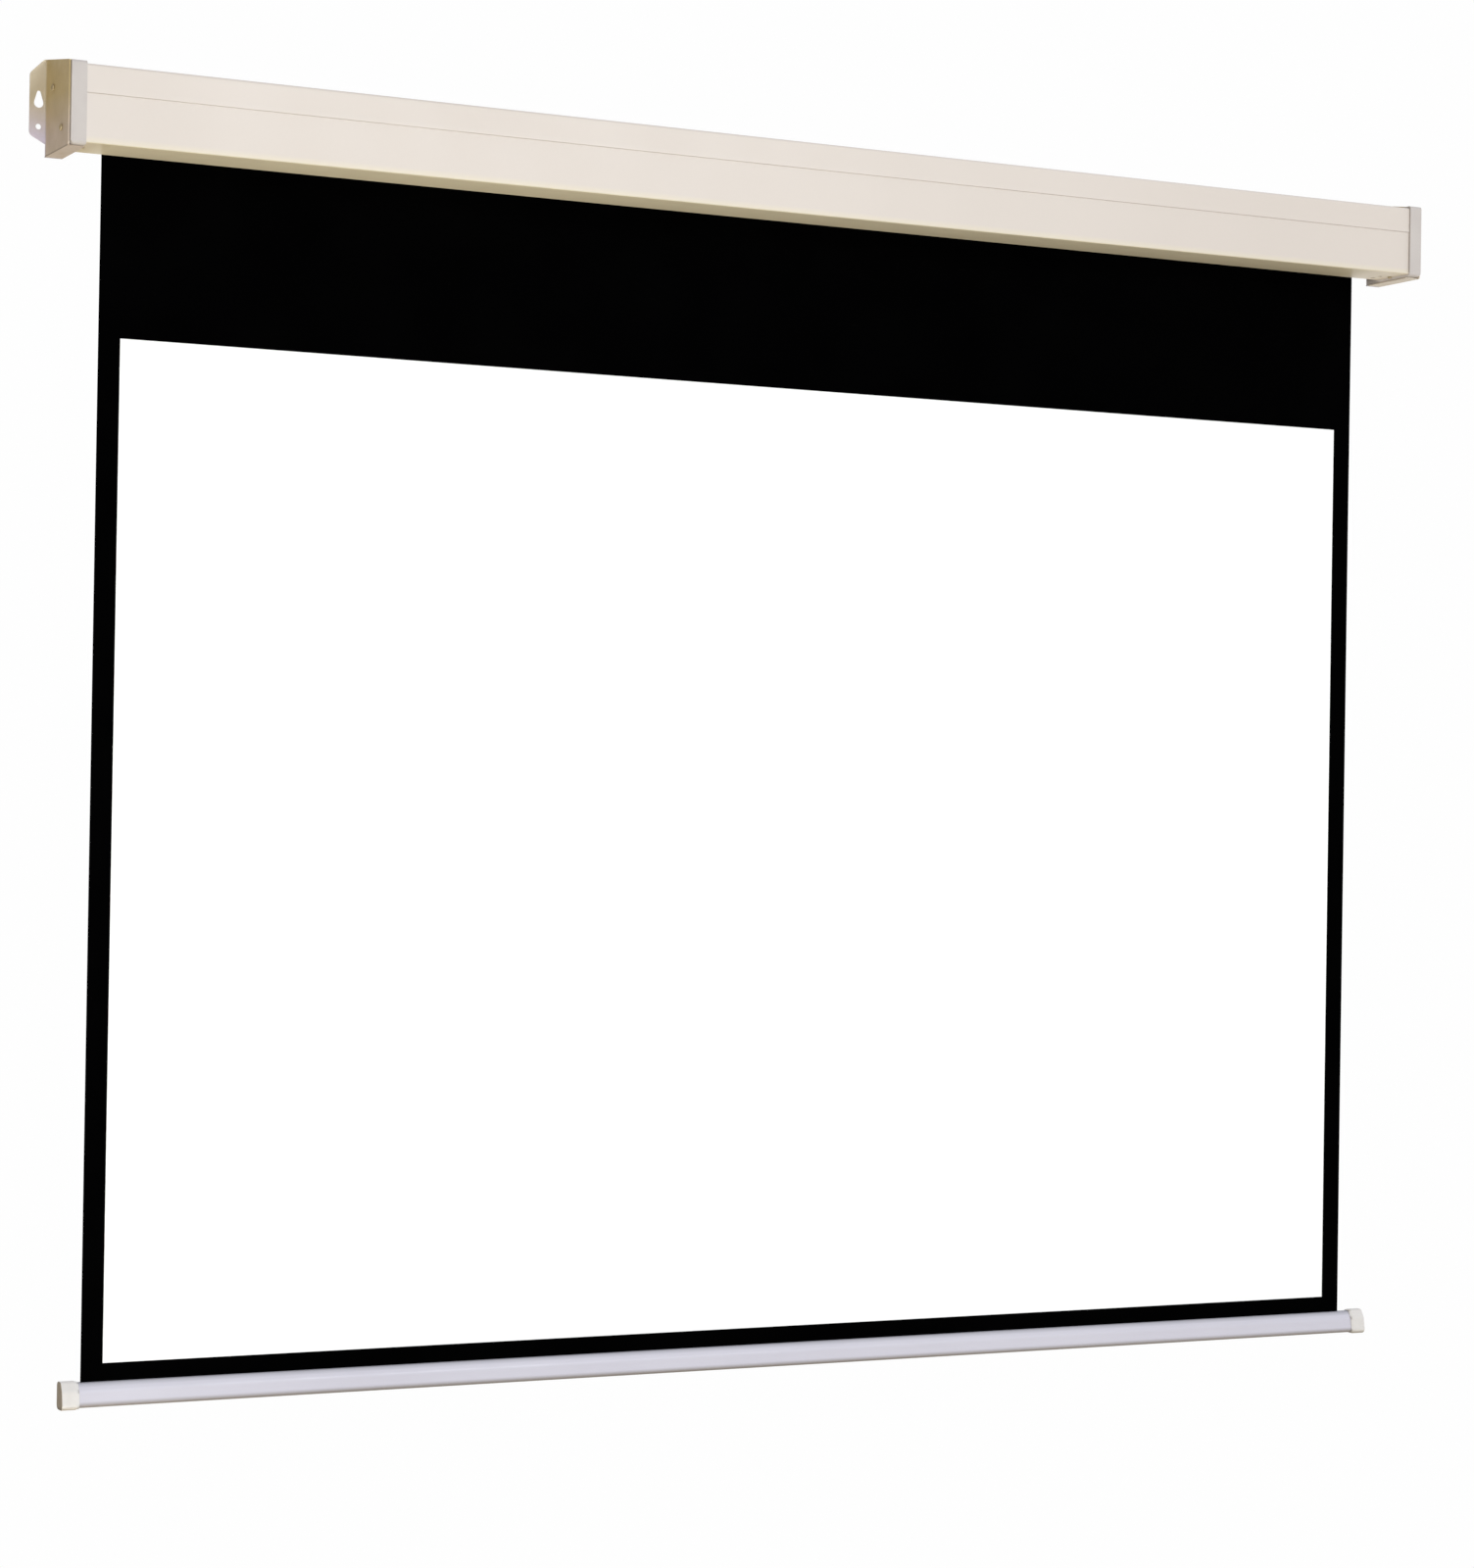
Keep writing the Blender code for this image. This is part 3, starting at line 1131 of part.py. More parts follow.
def hem(bar):
    """The black bottom border, which enters the bar's slot, and the rod that keeps it there."""
    rod_half = FABRIC_WIDTH / 2 - HEM_ROD_MARGIN
    profile = [(-rod_half, 0), (-rod_half, HEM_ROD_RADIUS), (rod_half, HEM_ROD_RADIUS), (rod_half, 0)]
    rod_z = POCKET_Z
    add("hem_rod", turned(profile, 12, (0, rod_z)), NATURAL_PLASTIC, (-BAR_SHIFT, 0, 0), bar)
    half = FABRIC_WIDTH / 2
    low = rod_z + HEM_ROD_RADIUS + GAP
    high = BAR_HEIGHT / 2 + BOTTOM_BORDER_HEIGHT
    strip = box((-half, -FABRIC_THICKNESS / 2, low), (half, FABRIC_THICKNESS / 2, high))
    add("bottom_border", strip, BLACK, (-BAR_SHIFT, 0, 0), bar)


def build():
    roller = empty("roller_axis", AXIS)
    rotor = empty("rotor_axis", AXIS)
    bar = empty("bar_middle", BAR_CENTRE)
    upper_housing()
    front_cover()
    slot_guide()
    for end, side in (("left", -1), ("right", 1)):
        end_cap(f"end_cap_{end}", side)
        wall_bracket(f"wall_bracket_{end}", side)
    housing_screws()
    idler_end(roller)
    roller_tube(roller)
    wound_fabric(roller)
    motor_case()
    limit_adjusters()
    crown_and_wheel(roller)
    motor_inside()
    rotor_pieces(rotor)
    gearbox(roller)
    wiring()
    hanging_fabric()
    weight_bar(bar)
    hem(bar)


build()
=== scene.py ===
"""Looks of the motorized projector screen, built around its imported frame.

Metres, with +X along the housing, -Y out of the wall into the room and +Z up, as in the frame.
"""

import json
import math

import bmesh
import bpy
from mathutils import Matrix, Vector

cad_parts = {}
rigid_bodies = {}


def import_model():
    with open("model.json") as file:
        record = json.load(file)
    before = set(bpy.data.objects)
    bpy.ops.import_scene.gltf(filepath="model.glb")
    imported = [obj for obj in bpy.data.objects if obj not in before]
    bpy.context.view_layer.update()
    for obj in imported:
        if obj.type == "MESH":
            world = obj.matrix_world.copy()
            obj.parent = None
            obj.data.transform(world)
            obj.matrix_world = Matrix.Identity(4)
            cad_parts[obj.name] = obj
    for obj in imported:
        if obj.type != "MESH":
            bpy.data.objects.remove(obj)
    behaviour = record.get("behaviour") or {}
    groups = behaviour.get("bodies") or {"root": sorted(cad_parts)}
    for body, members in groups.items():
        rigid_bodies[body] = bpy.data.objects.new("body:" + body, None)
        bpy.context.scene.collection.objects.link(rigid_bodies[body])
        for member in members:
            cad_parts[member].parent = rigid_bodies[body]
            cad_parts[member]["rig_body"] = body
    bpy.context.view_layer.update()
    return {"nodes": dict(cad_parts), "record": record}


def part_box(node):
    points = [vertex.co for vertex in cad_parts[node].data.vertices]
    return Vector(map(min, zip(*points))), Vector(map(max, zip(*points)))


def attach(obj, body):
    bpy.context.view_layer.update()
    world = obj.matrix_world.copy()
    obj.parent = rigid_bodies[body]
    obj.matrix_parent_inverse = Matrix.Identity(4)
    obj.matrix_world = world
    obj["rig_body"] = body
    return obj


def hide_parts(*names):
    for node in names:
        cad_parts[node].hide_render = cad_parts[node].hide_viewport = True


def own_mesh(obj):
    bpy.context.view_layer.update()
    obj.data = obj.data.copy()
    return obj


for old in list(bpy.data.objects):
    bpy.data.objects.remove(old, do_unlink=True)

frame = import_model()
scene = bpy.context.scene
nodes = frame["nodes"]

# Sizes that the pieces below share with the frame
FABRIC_HALF = 0.900
FABRIC_THICKNESS = 0.0005
FABRIC_END = -0.0003  # Z of the hanging cloth's upper end, at the roller
PICTURE_HALF = 0.8733
PICTURE_TOP = -0.2595
ROLL_START = 0.02605  # radius at the inner end of the wound cloth
ROLL_PITCH = 0.00095  # its growth with each turn
ROLL_TURNS = 2.25
BAR_CAP_WALL = 0.0018
# Corners of the weight bar's section, as (Y, Z) from its middle, and the radius of each
BAR_SECTION = ((-0.012, -0.0145), (0.007, -0.0145), (0.007, 0.0145), (-0.0032, 0.0145), (-0.0088, 0.005))
BAR_RADII = (0.0045, 0.0045, 0.003, 0.003, 0.012)
SHEET_BEND = 0.00154  # outer radius of the frame's bends at the crease
STRIP_EDGE = 0.012178  # Z of the upper sheet's edge at the crease
COVER_EDGE = 0.011678  # Z of the lower sheet's edge there
SHEET_END = 0.9412  # X where the frame's sheets end
SHEET_JOINT = 0.94142  # X where the shown sheets end, close to the end caps
CAP_JOINT = 0.9415  # X of the end caps' faces towards the sheets

# The camera's place and its yaw, pitch and roll in degrees, fitted to the photograph
CAMERA_PLACE = (-2.169, -4.216, -0.814)
CAMERA_ANGLES = (26.81, 0.54, 0.90)
FOCAL_LENGTH = 3750 / 1600  # in heights of the photograph
SENSOR_WIDTH = 36

# Rounding of the frame's own nodes: vertices closer than this are one, faces within the first angle are one flat
# face, and edges beyond the second one are rounded. Angles are in degrees.
WELD = 2e-6
FLAT_ANGLE = 1.5
SHARP_ANGLE = 32

# How close a vertex is to a plane, a level or an edge that it counts as on
JOINT_TOLERANCE = 0.00005
LEVEL_TOLERANCE = 0.0001
EDGE_TOLERANCE = 1e-5
TINY = 1e-6

# The cloth's faint waves
WAVES_TOP = -0.08  # Z where they begin
WAVES_GROWTH, WAVES_FADE = 0.30, 0.25  # heights over which they grow from there, and fade towards the bar
WAVE_DEPTH = 0.00022
EDGE_DEPTH = 0.0005  # how far the side edges stand back

# The crease between the sheets, and the flare of the upper sheet's front above it
CREASE_RADIUS = 0.0004
CREASE_REACH = 0.008  # how far behind the front the sheets' edges follow it
FLARE_START = 0.0065  # how far above the edge it begins
FLARE_HEIGHT = 0.005  # height over which it grows
FLARE_DEPTH = 0.00035
FRONT_DEPTH = 0.0018  # the front's vertices lie within this of its face

# Soft lamps: name, place, target, size, power in watts, colour and the angle that the light spreads over
LAMPS = (
    ("key", (1.4, -4.8, 1.6), (0, 0, -0.7), (2.4, 1.8), 80, (0.91, 0.97, 1.0), 180),
    ("fill", (-1.8, -5.0, -0.9), (0, 0, -0.5), (2.0, 2.0), 72, (0.93, 0.97, 1.0), 180),
    ("low", (-1.3, -0.5, -2.2), (-0.55, -0.06, -0.05), (0.5, 0.5), 1.5, (1.0, 0.98, 0.86), 50),
)
FLOOR_PLACE = (0, -0.6, -2.35)
FLOOR_RADIUS = 3.4
FLOOR_FADE = (2.2, 3.3)  # distances from its middle between which it fades out

# Patterns of the materials: pitches in metres, cells in a metre, and how strongly the relief shows
THREAD_PITCH = 0.0006
LAMINATION_PITCH = 0.0006
CELLS_PER_METRE = 160
BUMP_STRENGTH = 0.6

# The colour sockets of a Mix node, whose names its other kinds share
MIX_FIRST, MIX_SECOND, MIX_RESULT = 6, 7, 2

# Nodes inside that only get rounded edges
PLAIN_NODES = (
    "idler_bracket", "motor_bracket", "terminal_block", "motor_head", "roller_tube", "idler_plug", "crown_ring",
    "cable_grommet", "idler_pin",
)


# New objects


def linked(name, data):
    """A new object of this data, in the scene."""
    made = bpy.data.objects.new(name, data)
    scene.collection.objects.link(made)
    return made


def mesh_object(name, mesh):
    """A new object of a bmesh, which is freed."""
    data = bpy.data.meshes.new(name)
    mesh.to_mesh(data)
    mesh.free()
    return linked(name, data)


# Camera


def aim_camera():
    """Sees the screen as the photograph shows it."""
    data = bpy.data.cameras.new("camera")
    data.sensor_width = SENSOR_WIDTH
    data.lens = FOCAL_LENGTH * SENSOR_WIDTH
    data.clip_end = 60
    camera = linked("camera", data)
    yaw, pitch, roll = (math.radians(angle) for angle in CAMERA_ANGLES)
    level = math.cos(pitch)
    forward = Vector((math.sin(yaw) * level, math.cos(yaw) * level, math.sin(pitch)))
    right = Vector((math.cos(yaw), -math.sin(yaw), 0))
    up = right.cross(forward)
    right, up = right * math.cos(roll) + up * math.sin(roll), up * math.cos(roll) - right * math.sin(roll)
    turn = Matrix((right, up, -forward)).transposed().to_4x4()
    camera.matrix_world = Matrix.Translation(CAMERA_PLACE) @ turn
    scene.camera = camera


# Materials


def wire(tree, source, target):
    """Gives a socket a number, a colour or another node's output."""
    if isinstance(source, tuple):
        target.default_value = (*source, 1)
    elif isinstance(source, (int, float)):
        target.default_value = source
    else:
        tree.links.new(source, target)


def noise(tree, coords, size, stretch=(1, 1, 1), detail=3.0):
    """Noise whose features are about this size in metres, drawn out along an axis by stretch."""
    mapping = tree.nodes.new("ShaderNodeMapping")
    mapping.inputs["Scale"].default_value = [1 / (size * factor) for factor in stretch]
    texture = tree.nodes.new("ShaderNodeTexNoise")
    texture.inputs["Scale"].default_value = 1.0
    texture.inputs["Detail"].default_value = detail
    wire(tree, coords, mapping.inputs["Vector"])
    wire(tree, mapping.outputs["Vector"], texture.inputs["Vector"])
    return texture.outputs["Fac"]


def bands(tree, coords, axis, pitch, distortion, detail):
    """Bands across an axis, one in every pitch metres."""
    wave = tree.nodes.new("ShaderNodeTexWave")
    wave.bands_direction = axis
    wave.inputs["Scale"].default_value = math.pi / (10 * pitch)
    wave.inputs["Distortion"].default_value = distortion
    wave.inputs["Detail"].default_value = detail
    wire(tree, coords, wave.inputs["Vector"])
    return wave.outputs["Fac"]


def weave(tree, coords):
    """Threads across and down the cloth, which pass over and under each other."""
    crossing = tree.nodes.new("ShaderNodeMath")
    crossing.operation = "MULTIPLY"
    for axis, socket in zip(("X", "Z"), crossing.inputs):
        wire(tree, bands(tree, coords, axis, THREAD_PITCH, distortion=0.6, detail=1.0), socket)
    return crossing.outputs[0]


def laminations(tree, coords):
    """Thin sheets stacked along the motor."""
    return bands(tree, coords, "X", LAMINATION_PITCH, distortion=0.4, detail=2.0)


def spangle(tree, coords):
    """Crystals of a zinc coat."""
    cells = tree.nodes.new("ShaderNodeTexVoronoi")
    cells.inputs["Scale"].default_value = CELLS_PER_METRE
    cells.inputs["Randomness"].default_value = 1.0
    wire(tree, coords, cells.inputs["Vector"])
    split = tree.nodes.new("ShaderNodeSeparateColor")
    wire(tree, cells.outputs["Color"], split.inputs["Color"])
    return split.outputs["Red"]


def tracks(tree, coords):
    """Copper tracks under a board's lacquer."""
    bricks = tree.nodes.new("ShaderNodeTexBrick")
    bricks.inputs["Scale"].default_value = CELLS_PER_METRE
    bricks.inputs["Mortar Size"].default_value = 0.08
    bricks.inputs["Color1"].default_value = (0.2, 0.2, 0.2, 1)
    bricks.inputs["Color2"].default_value = (0.5, 0.5, 0.5, 1)
    bricks.inputs["Mortar"].default_value = (1, 1, 1, 1)
    wire(tree, coords, bricks.inputs["Vector"])
    return bricks.outputs["Color"]


def spread(tree, source, low, high, start=0.3, end=0.7):
    """Maps a texture's values from start..end to low..high."""
    remap = tree.nodes.new("ShaderNodeMapRange")
    for name, value in (("From Min", start), ("From Max", end), ("To Min", low), ("To Max", high)):
        remap.inputs[name].default_value = value
    wire(tree, source, remap.inputs["Value"])
    return remap.outputs["Result"]


def blend(tree, factor, first, second, kind="MIX"):
    """Mixes two colours by factor."""
    mix = tree.nodes.new("ShaderNodeMix")
    mix.data_type = "RGBA"
    mix.blend_type = kind
    wire(tree, factor, mix.inputs["Factor"])
    wire(tree, first, mix.inputs[MIX_FIRST])
    wire(tree, second, mix.inputs[MIX_SECOND])
    return mix.outputs[MIX_RESULT]


def tinted(tree, coords, colour, tints):
    """Multiplies the colour by tints of painted light and shade that set in along an axis, each as (axis, start,
    end, tint).
    """
    split = tree.nodes.new("ShaderNodeSeparateXYZ")
    wire(tree, coords, split.inputs["Vector"])
    for axis, start, end, tint in tints:
        colour = blend(tree, spread(tree, split.outputs[axis], 0, 1, start, end), colour, tint, "MULTIPLY")
    return colour


def surface(
    name, dark, light, patch, rough, grain, depth, stretch=(1, 1, 1), pattern=None, hollow_tone_and_shade=0.94, tints=(), **sockets
):
    """A Principled material whose colour, roughness and relief vary over the piece.

    Its colour goes from dark to light in patches of the size patch, and its roughness between the two values of
    rough, in patches a third as large. The relief has features of the size grain and the height depth, in metres,
    drawn out by stretch, or follows pattern. Its low parts keep only a share of the colour, given by the argument
    after pattern: painted shade in the relief's hollows, which on the cloth and the motor's sheets also shows the
    darker gaps between threads and between sheets. tints paint light and shade along an axis. sockets are values
    of the Principled shader, with _ for each space in a name.
    """
    made = bpy.data.materials.new(name)
    made.use_nodes = True
    tree = made.node_tree
    shader = tree.nodes["Principled BSDF"]
    for socket, value in sockets.items():
        shader.inputs[socket.replace("_", " ")].default_value = value
    coords = tree.nodes.new("ShaderNodeTexCoord").outputs["Object"]
    broad = spread(tree, noise(tree, coords, patch, detail=2.0), 0, 1)
    relief = pattern(tree, coords) if pattern else noise(tree, coords, grain, stretch)
    # Painted shade in the relief's low parts, which on the cloth and the motor's sheets also shows the gaps between
    # threads and between sheets
    low_parts = blend(tree, broad, tuple(hollow_tone_and_shade * c for c in dark), tuple(hollow_tone_and_shade * c for c in light))
    high_parts = blend(tree, broad, dark, light)
    colour = tinted(tree, coords, blend(tree, spread(tree, relief, 0, 1), low_parts, high_parts), tints)
    wire(tree, colour, shader.inputs["Base Color"])
    shine = noise(tree, coords, patch / 3, detail=4.0)
    wire(tree, spread(tree, shine, *rough), shader.inputs["Roughness"])
    bump = tree.nodes.new("ShaderNodeBump")
    bump.inputs["Strength"].default_value = BUMP_STRENGTH
    bump.inputs["Distance"].default_value = depth
    wire(tree, relief, bump.inputs["Height"])
    wire(tree, bump.outputs["Normal"], shader.inputs["Normal"])
    return made


def cream_paint(name, *tints):
    """The housing's paint, with a painted highlight along the front's lower edge and painted warm shade on the lip.
    """
    return surface(
        name, (0.613, 0.550, 0.500), (0.627, 0.564, 0.514), 0.30, (0.36, 0.46), 0.0011, 0.00004, hollow_tone_and_shade=0.985, tints=(
            # Painted highlight: lighter and yellower from the front's lower bend down
            ("Z", -0.0375, -0.0430, (1.06, 1.06, 0.96)),
            # Painted warm shade on the lip's underside
            ("Z", -0.0450, -0.0459, (0.98, 0.96, 0.84)),
            *tints,
        ),
    )


def cap_plastic(name, *tints):
    """The end caps' plastic, with these tints of painted light and shade."""
    return surface(
        name, (0.505, 0.460, 0.438), (0.538, 0.496, 0.470), 0.04, (0.48, 0.60), 0.0006, 0.00004, tints=tints
    )


def bracket_paint(name, foot):
    """A wall bracket's paint, yellower towards its top as painted warm light, paler on its ear as painted light,
    and with the tint foot, painted light and shade, on its foot.
    """
    return surface(
        name, (0.660, 0.552, 0.440), (0.745, 0.632, 0.535), 0.03, (0.42, 0.55), 0.0011, 0.00004, tints=(
            # Painted warm light towards the top, painted light on the ear and the foot's painted light and shade
            ("Z", -0.030, 0.015, (0.91, 0.86, 0.53)),
            ("Y", -0.006, -0.002, (0.95, 1.03, 1.48)),
            ("Z", -0.0485, -0.0500, foot),
        ),
    )


MATERIALS = {
    "cream_paint": cream_paint("cream powder coat"),
    "lip_paint": cream_paint(
        # Painted shade at the lip's left end and painted light at its right end
        "cream powder coat with painted light and shade on the lip", ("X", -0.906, -0.928, (0.74, 0.67, 0.52)),
        ("X", 0.870, 0.895, (1.18, 1.20, 1.38)),
    ),
    "cap_plastic": cap_plastic("moulded grey plastic"),
    "cap_rim_painted_light": cap_plastic(
        "moulded grey plastic of the right rim",
        # Painted light towards the front of the right cap's side to the housing, and painted shade above its lowest
        # edge
        ("Y", -0.020, -0.035, (1.60, 1.64, 1.70)), ("Z", -0.0445, -0.0430, (0.625, 0.610, 0.588)),
    ),
    # The left foot's tint is painted shade; the right bracket's copy has almost none on its foot
    "bracket_paint": bracket_paint("bracket powder coat", (0.61, 0.57, 0.52)),
    "right_bracket_painted_light": bracket_paint("bracket powder coat with painted light on the right foot", (0.96, 1.02, 1.05)),
    # Its dark khaki is painted shade, the colour of the strip in the shade under the housing
    "guide_plastic": surface(
        "extruded plastic in painted khaki shade", (0.40, 0.33, 0.21), (0.46, 0.385, 0.26), 0.08, (0.50, 0.65), 0.0004, 0.00002,
        stretch=(60, 1, 1),
    ),
    "white_fabric": surface(
        "matt white projection cloth", (0.915, 0.915, 0.915), (0.921, 0.921, 0.921), 0.20, (0.90, 1.0), 0, 0.00003,
        pattern=weave, hollow_tone_and_shade=0.98, Specular_IOR_Level=0.15,
    ),
    "black_fabric": surface(
        "black masking cloth", (0.0008, 0.0008, 0.0009), (0.0013, 0.0013, 0.0014), 0.10, (0.90, 1.0), 0, 0.00003,
        pattern=weave, hollow_tone_and_shade=0.5, Specular_IOR_Level=0.0,
    ),
    "black_backing": surface(
        "black coat on the cloth's back", (0.014, 0.014, 0.015), (0.016, 0.016, 0.017), 0.15, (0.80, 0.9), 0,
        0.00003, pattern=weave, hollow_tone_and_shade=0.8, Specular_IOR_Level=0.2,
    ),
    "bar_paint": surface(
        "lavender-grey painted aluminium", (0.538, 0.518, 0.582), (0.566, 0.546, 0.610), 0.20, (0.36, 0.48),
        0.0004, 0.00002, stretch=(80, 1, 1), Metallic=0.05, hollow_tone_and_shade=0.97, tints=(
            # Painted shade: darker along the bar's top, and a dark brown line along its lower edge
            ("Z", -1.4925, -1.4875, (0.60, 0.61, 0.61)),
            ("Z", -1.5085, -1.5140, (0.42, 0.385, 0.32)),
        ),
    ),
    "bar_cap_plastic": surface(
        "pale moulded plastic", (0.64, 0.61, 0.585), (0.69, 0.66, 0.635), 0.02, (0.45, 0.58), 0.0006, 0.00003,
        tints=(
            # Painted shade on the left cap's end and along the caps' lower edge
            ("X", -0.9244, -0.9250, (0.43, 0.38, 0.31)),
            ("Z", -1.5130, -1.5168, (0.50, 0.45, 0.38)),
        ),
    ),
    "zinc_steel": surface(
        "zinc-plated steel", (0.50, 0.51, 0.52), (0.64, 0.65, 0.66), 0.02, (0.30, 0.48), 0, 0.00001,
        pattern=spangle, hollow_tone_and_shade=0.88, Metallic=0.95,
    ),
    "screw_steel": surface(
        "yellow zinc-plated steel", (0.50, 0.41, 0.25), (0.60, 0.50, 0.32), 0.004, (0.42, 0.55), 0.0003, 0.00001,
        Metallic=0.5,
    ),
    "dark_plastic": surface(
        "dark glass-filled plastic", (0.030, 0.030, 0.034), (0.055, 0.055, 0.060), 0.02, (0.45, 0.62), 0.0005,
        0.00003, hollow_tone_and_shade=0.8,
    ),
    "natural_plastic": surface(
        "natural nylon", (0.72, 0.70, 0.61), (0.80, 0.78, 0.70), 0.02, (0.38, 0.52), 0.0009, 0.00003,
        Subsurface_Weight=0.08, Subsurface_Scale=0.002,
    ),
    "sintered_brass": surface(
        "sintered brass", (0.52, 0.38, 0.17), (0.68, 0.52, 0.26), 0.006, (0.34, 0.55), 0.0003, 0.00004, hollow_tone_and_shade=0.7,
        Metallic=0.9,
    ),
    "laminated_iron": surface(
        "stacked iron sheets", (0.22, 0.22, 0.24), (0.34, 0.34, 0.36), 0.01, (0.40, 0.60), 0, 0.00006,
        pattern=laminations, hollow_tone_and_shade=0.6, Metallic=0.8,
    ),
    "black_rubber": surface(
        "black rubber", (0.014, 0.014, 0.014), (0.028, 0.028, 0.027), 0.006, (0.70, 0.90), 0.0005, 0.00004,
        hollow_tone_and_shade=0.8,
    ),
    "board_green": surface(
        "lacquered circuit board", (0.020, 0.170, 0.075), (0.045, 0.260, 0.120), 0.01, (0.30, 0.45), 0, 0.00003,
        pattern=tracks, hollow_tone_and_shade=0.6,
    ),
    "capacitor_case": surface(
        "drawn aluminium can", (0.60, 0.60, 0.62), (0.72, 0.72, 0.74), 0.02, (0.28, 0.42), 0.0004, 0.00001,
        stretch=(40, 1, 1), Metallic=0.85,
    ),
    "tape": surface(
        "paper tape", (0.60, 0.52, 0.32), (0.72, 0.64, 0.43), 0.02, (0.65, 0.80), 0.0008, 0.00003,
        stretch=(4, 1, 1), hollow_tone_and_shade=0.85,
    ),
    "adjuster_yellow": surface(
        "yellow plastic", (0.78, 0.58, 0.05), (0.86, 0.68, 0.09), 0.003, (0.35, 0.48), 0.0003, 0.00002,
    ),
    "adjuster_white": surface(
        "white plastic", (0.80, 0.80, 0.78), (0.86, 0.86, 0.84), 0.005, (0.35, 0.50), 0.0004, 0.00002,
    ),
}

# Which material slot each node of the frame has
SLOTS = {row["node"]: row["material_slot"] for row in frame["record"]["subparts"]}


# Helpers for the pieces


def new_piece(name, mesh, slot, body, replaced, looks=None):
    """Makes a shown piece of a bmesh, which rides on body and stands for the replaced nodes.

    looks names its materials. Without them it has its slot's own.
    """
    bmesh.ops.recalc_face_normals(mesh, faces=mesh.faces)
    for face in mesh.faces:
        face.smooth = True
    piece = mesh_object(name, mesh)
    for look in looks or [slot]:
        piece.data.materials.append(MATERIALS[look])
    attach(piece, body)
    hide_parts(*replaced)
    return piece


def round_edges(piece, width, steps):
    """Rounds the piece's weighted edges."""
    bevel = piece.modifiers.new("rounded edges", "BEVEL")
    bevel.width = width
    bevel.segments = steps
    bevel.limit_method = "WEIGHT"
    bevel.use_clamp_overlap = True


def even_shading(piece):
    """Keeps the shading of the piece's flat faces flat."""
    weighted = piece.modifiers.new("even shading", "WEIGHTED_NORMAL")
    weighted.weight = 90


def sharpen(piece, angle=40):
    """Marks the piece's edges beyond an angle in degrees as sharp."""
    piece.data.set_sharp_from_angle(angle=math.radians(angle))


def cut(piece, mesh):
    """Cuts the shape of a bmesh out of a piece, for good."""
    bmesh.ops.recalc_face_normals(mesh, faces=mesh.faces)
    cutter = mesh_object("cutter", mesh)
    modifier = piece.modifiers.new("cut", "BOOLEAN")
    modifier.operation = "DIFFERENCE"
    modifier.object = cutter
    bpy.context.view_layer.update()
    graph = bpy.context.evaluated_depsgraph_get()
    result = bpy.data.meshes.new_from_object(piece.evaluated_get(graph))
    piece.modifiers.remove(modifier)
    piece.data = result
    for polygon in result.polygons:
        polygon.use_smooth = True
    bpy.data.objects.remove(cutter)


def in_planes(part, joint):
    """Whether an edge or face lies in the plane X = joint or X = -joint."""
    return all(abs(abs(vert.co.x) - joint) < JOINT_TOLERANCE for vert in part.verts)


def finer(node, width=0.0003, steps=2, reshape=None, joint=None, joint_width=0.0, looks=None):
    """A rigid node with its flat faces joined, its edges rounded and its curves shaded smooth.

    reshape changes its mesh before the rounding. In the planes X = joint and X = -joint, where the piece meets the
    next one, only its outer edges are rounded, by joint_width.
    """
    mesh = bmesh.new()
    mesh.from_mesh(nodes[node].data)
    bmesh.ops.remove_doubles(mesh, verts=mesh.verts, dist=WELD)
    bmesh.ops.dissolve_limit(
        mesh, angle_limit=math.radians(FLAT_ANGLE), use_dissolve_boundaries=False, verts=mesh.verts,
        edges=mesh.edges,
    )
    # A fresh mesh, without the layers of the frame's own
    clean = bmesh.new()
    made = [clean.verts.new(vert.co) for vert in mesh.verts]
    mesh.verts.index_update()
    for face in mesh.faces:
        clean.faces.new([made[vert.index] for vert in face.verts])
    mesh.free()
    if reshape:
        reshape(clean)
    clean.normal_update()
    weights = clean.edges.layers.float.new("bevel_weight_edge")
    widest = max(width, joint_width)
    for edge in clean.edges:
        amount = joint_width * edge.is_convex if joint and in_planes(edge, joint) else width
        edge[weights] = amount / widest * (edge.calc_face_angle(0) > math.radians(SHARP_ANGLE))
    piece = new_piece(f"{node}_detailed", clean, SLOTS[node], nodes[node]["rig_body"], [node], looks)
    round_edges(piece, widest, steps)
    even_shading(piece)


def grown(corners, grow):
    """The corners of an outline that turns left, with each side moved out by grow."""
    moved = []
    points = [Vector(corner) for corner in corners]
    for before, point, after in zip(points[-1:] + points, points, points[1:] + points[:1]):
        first, second = (Vector((side.y, -side.x)).normalized() for side in (point - before, after - point))
        moved.append(point + (first + second) * grow / (1 + first.dot(second)))
    return moved


def rounded(corners, radii):
    """An outline whose corners have these radii."""
    steps = 10
    points = []
    for before, corner, after, radius in zip(corners[-1:] + corners, corners, corners[1:] + corners[:1], radii):
        back, ahead = (before - corner).normalized(), (after - corner).normalized()
        half = back.angle(ahead) / 2
        centre = corner + (back + ahead).normalized() * (radius / math.sin(half))
        start = corner + back * (radius / math.tan(half)) - centre
        for step in range(steps + 1):
            turn = (math.pi - 2 * half) * step / steps
            cos, sin = math.cos(turn), math.sin(turn)
            points.append((centre.x + start.x * cos - start.y * sin, centre.y + start.x * sin + start.y * cos))
    return points


def lofted(sections):
    """A closed solid along X through outlines of as many points. Each section is (x, outline in YZ)."""
    mesh = bmesh.new()
    rings = [[mesh.verts.new((x, *point)) for point in outline] for x, outline in sections]
    for ring, following in zip(rings, rings[1:]):
        for side in range(len(ring)):
            after = (side + 1) % len(ring)
            mesh.faces.new((ring[side], ring[after], following[after], following[side]))
    mesh.faces.new(rings[0])
    mesh.faces.new(rings[-1])
    return mesh


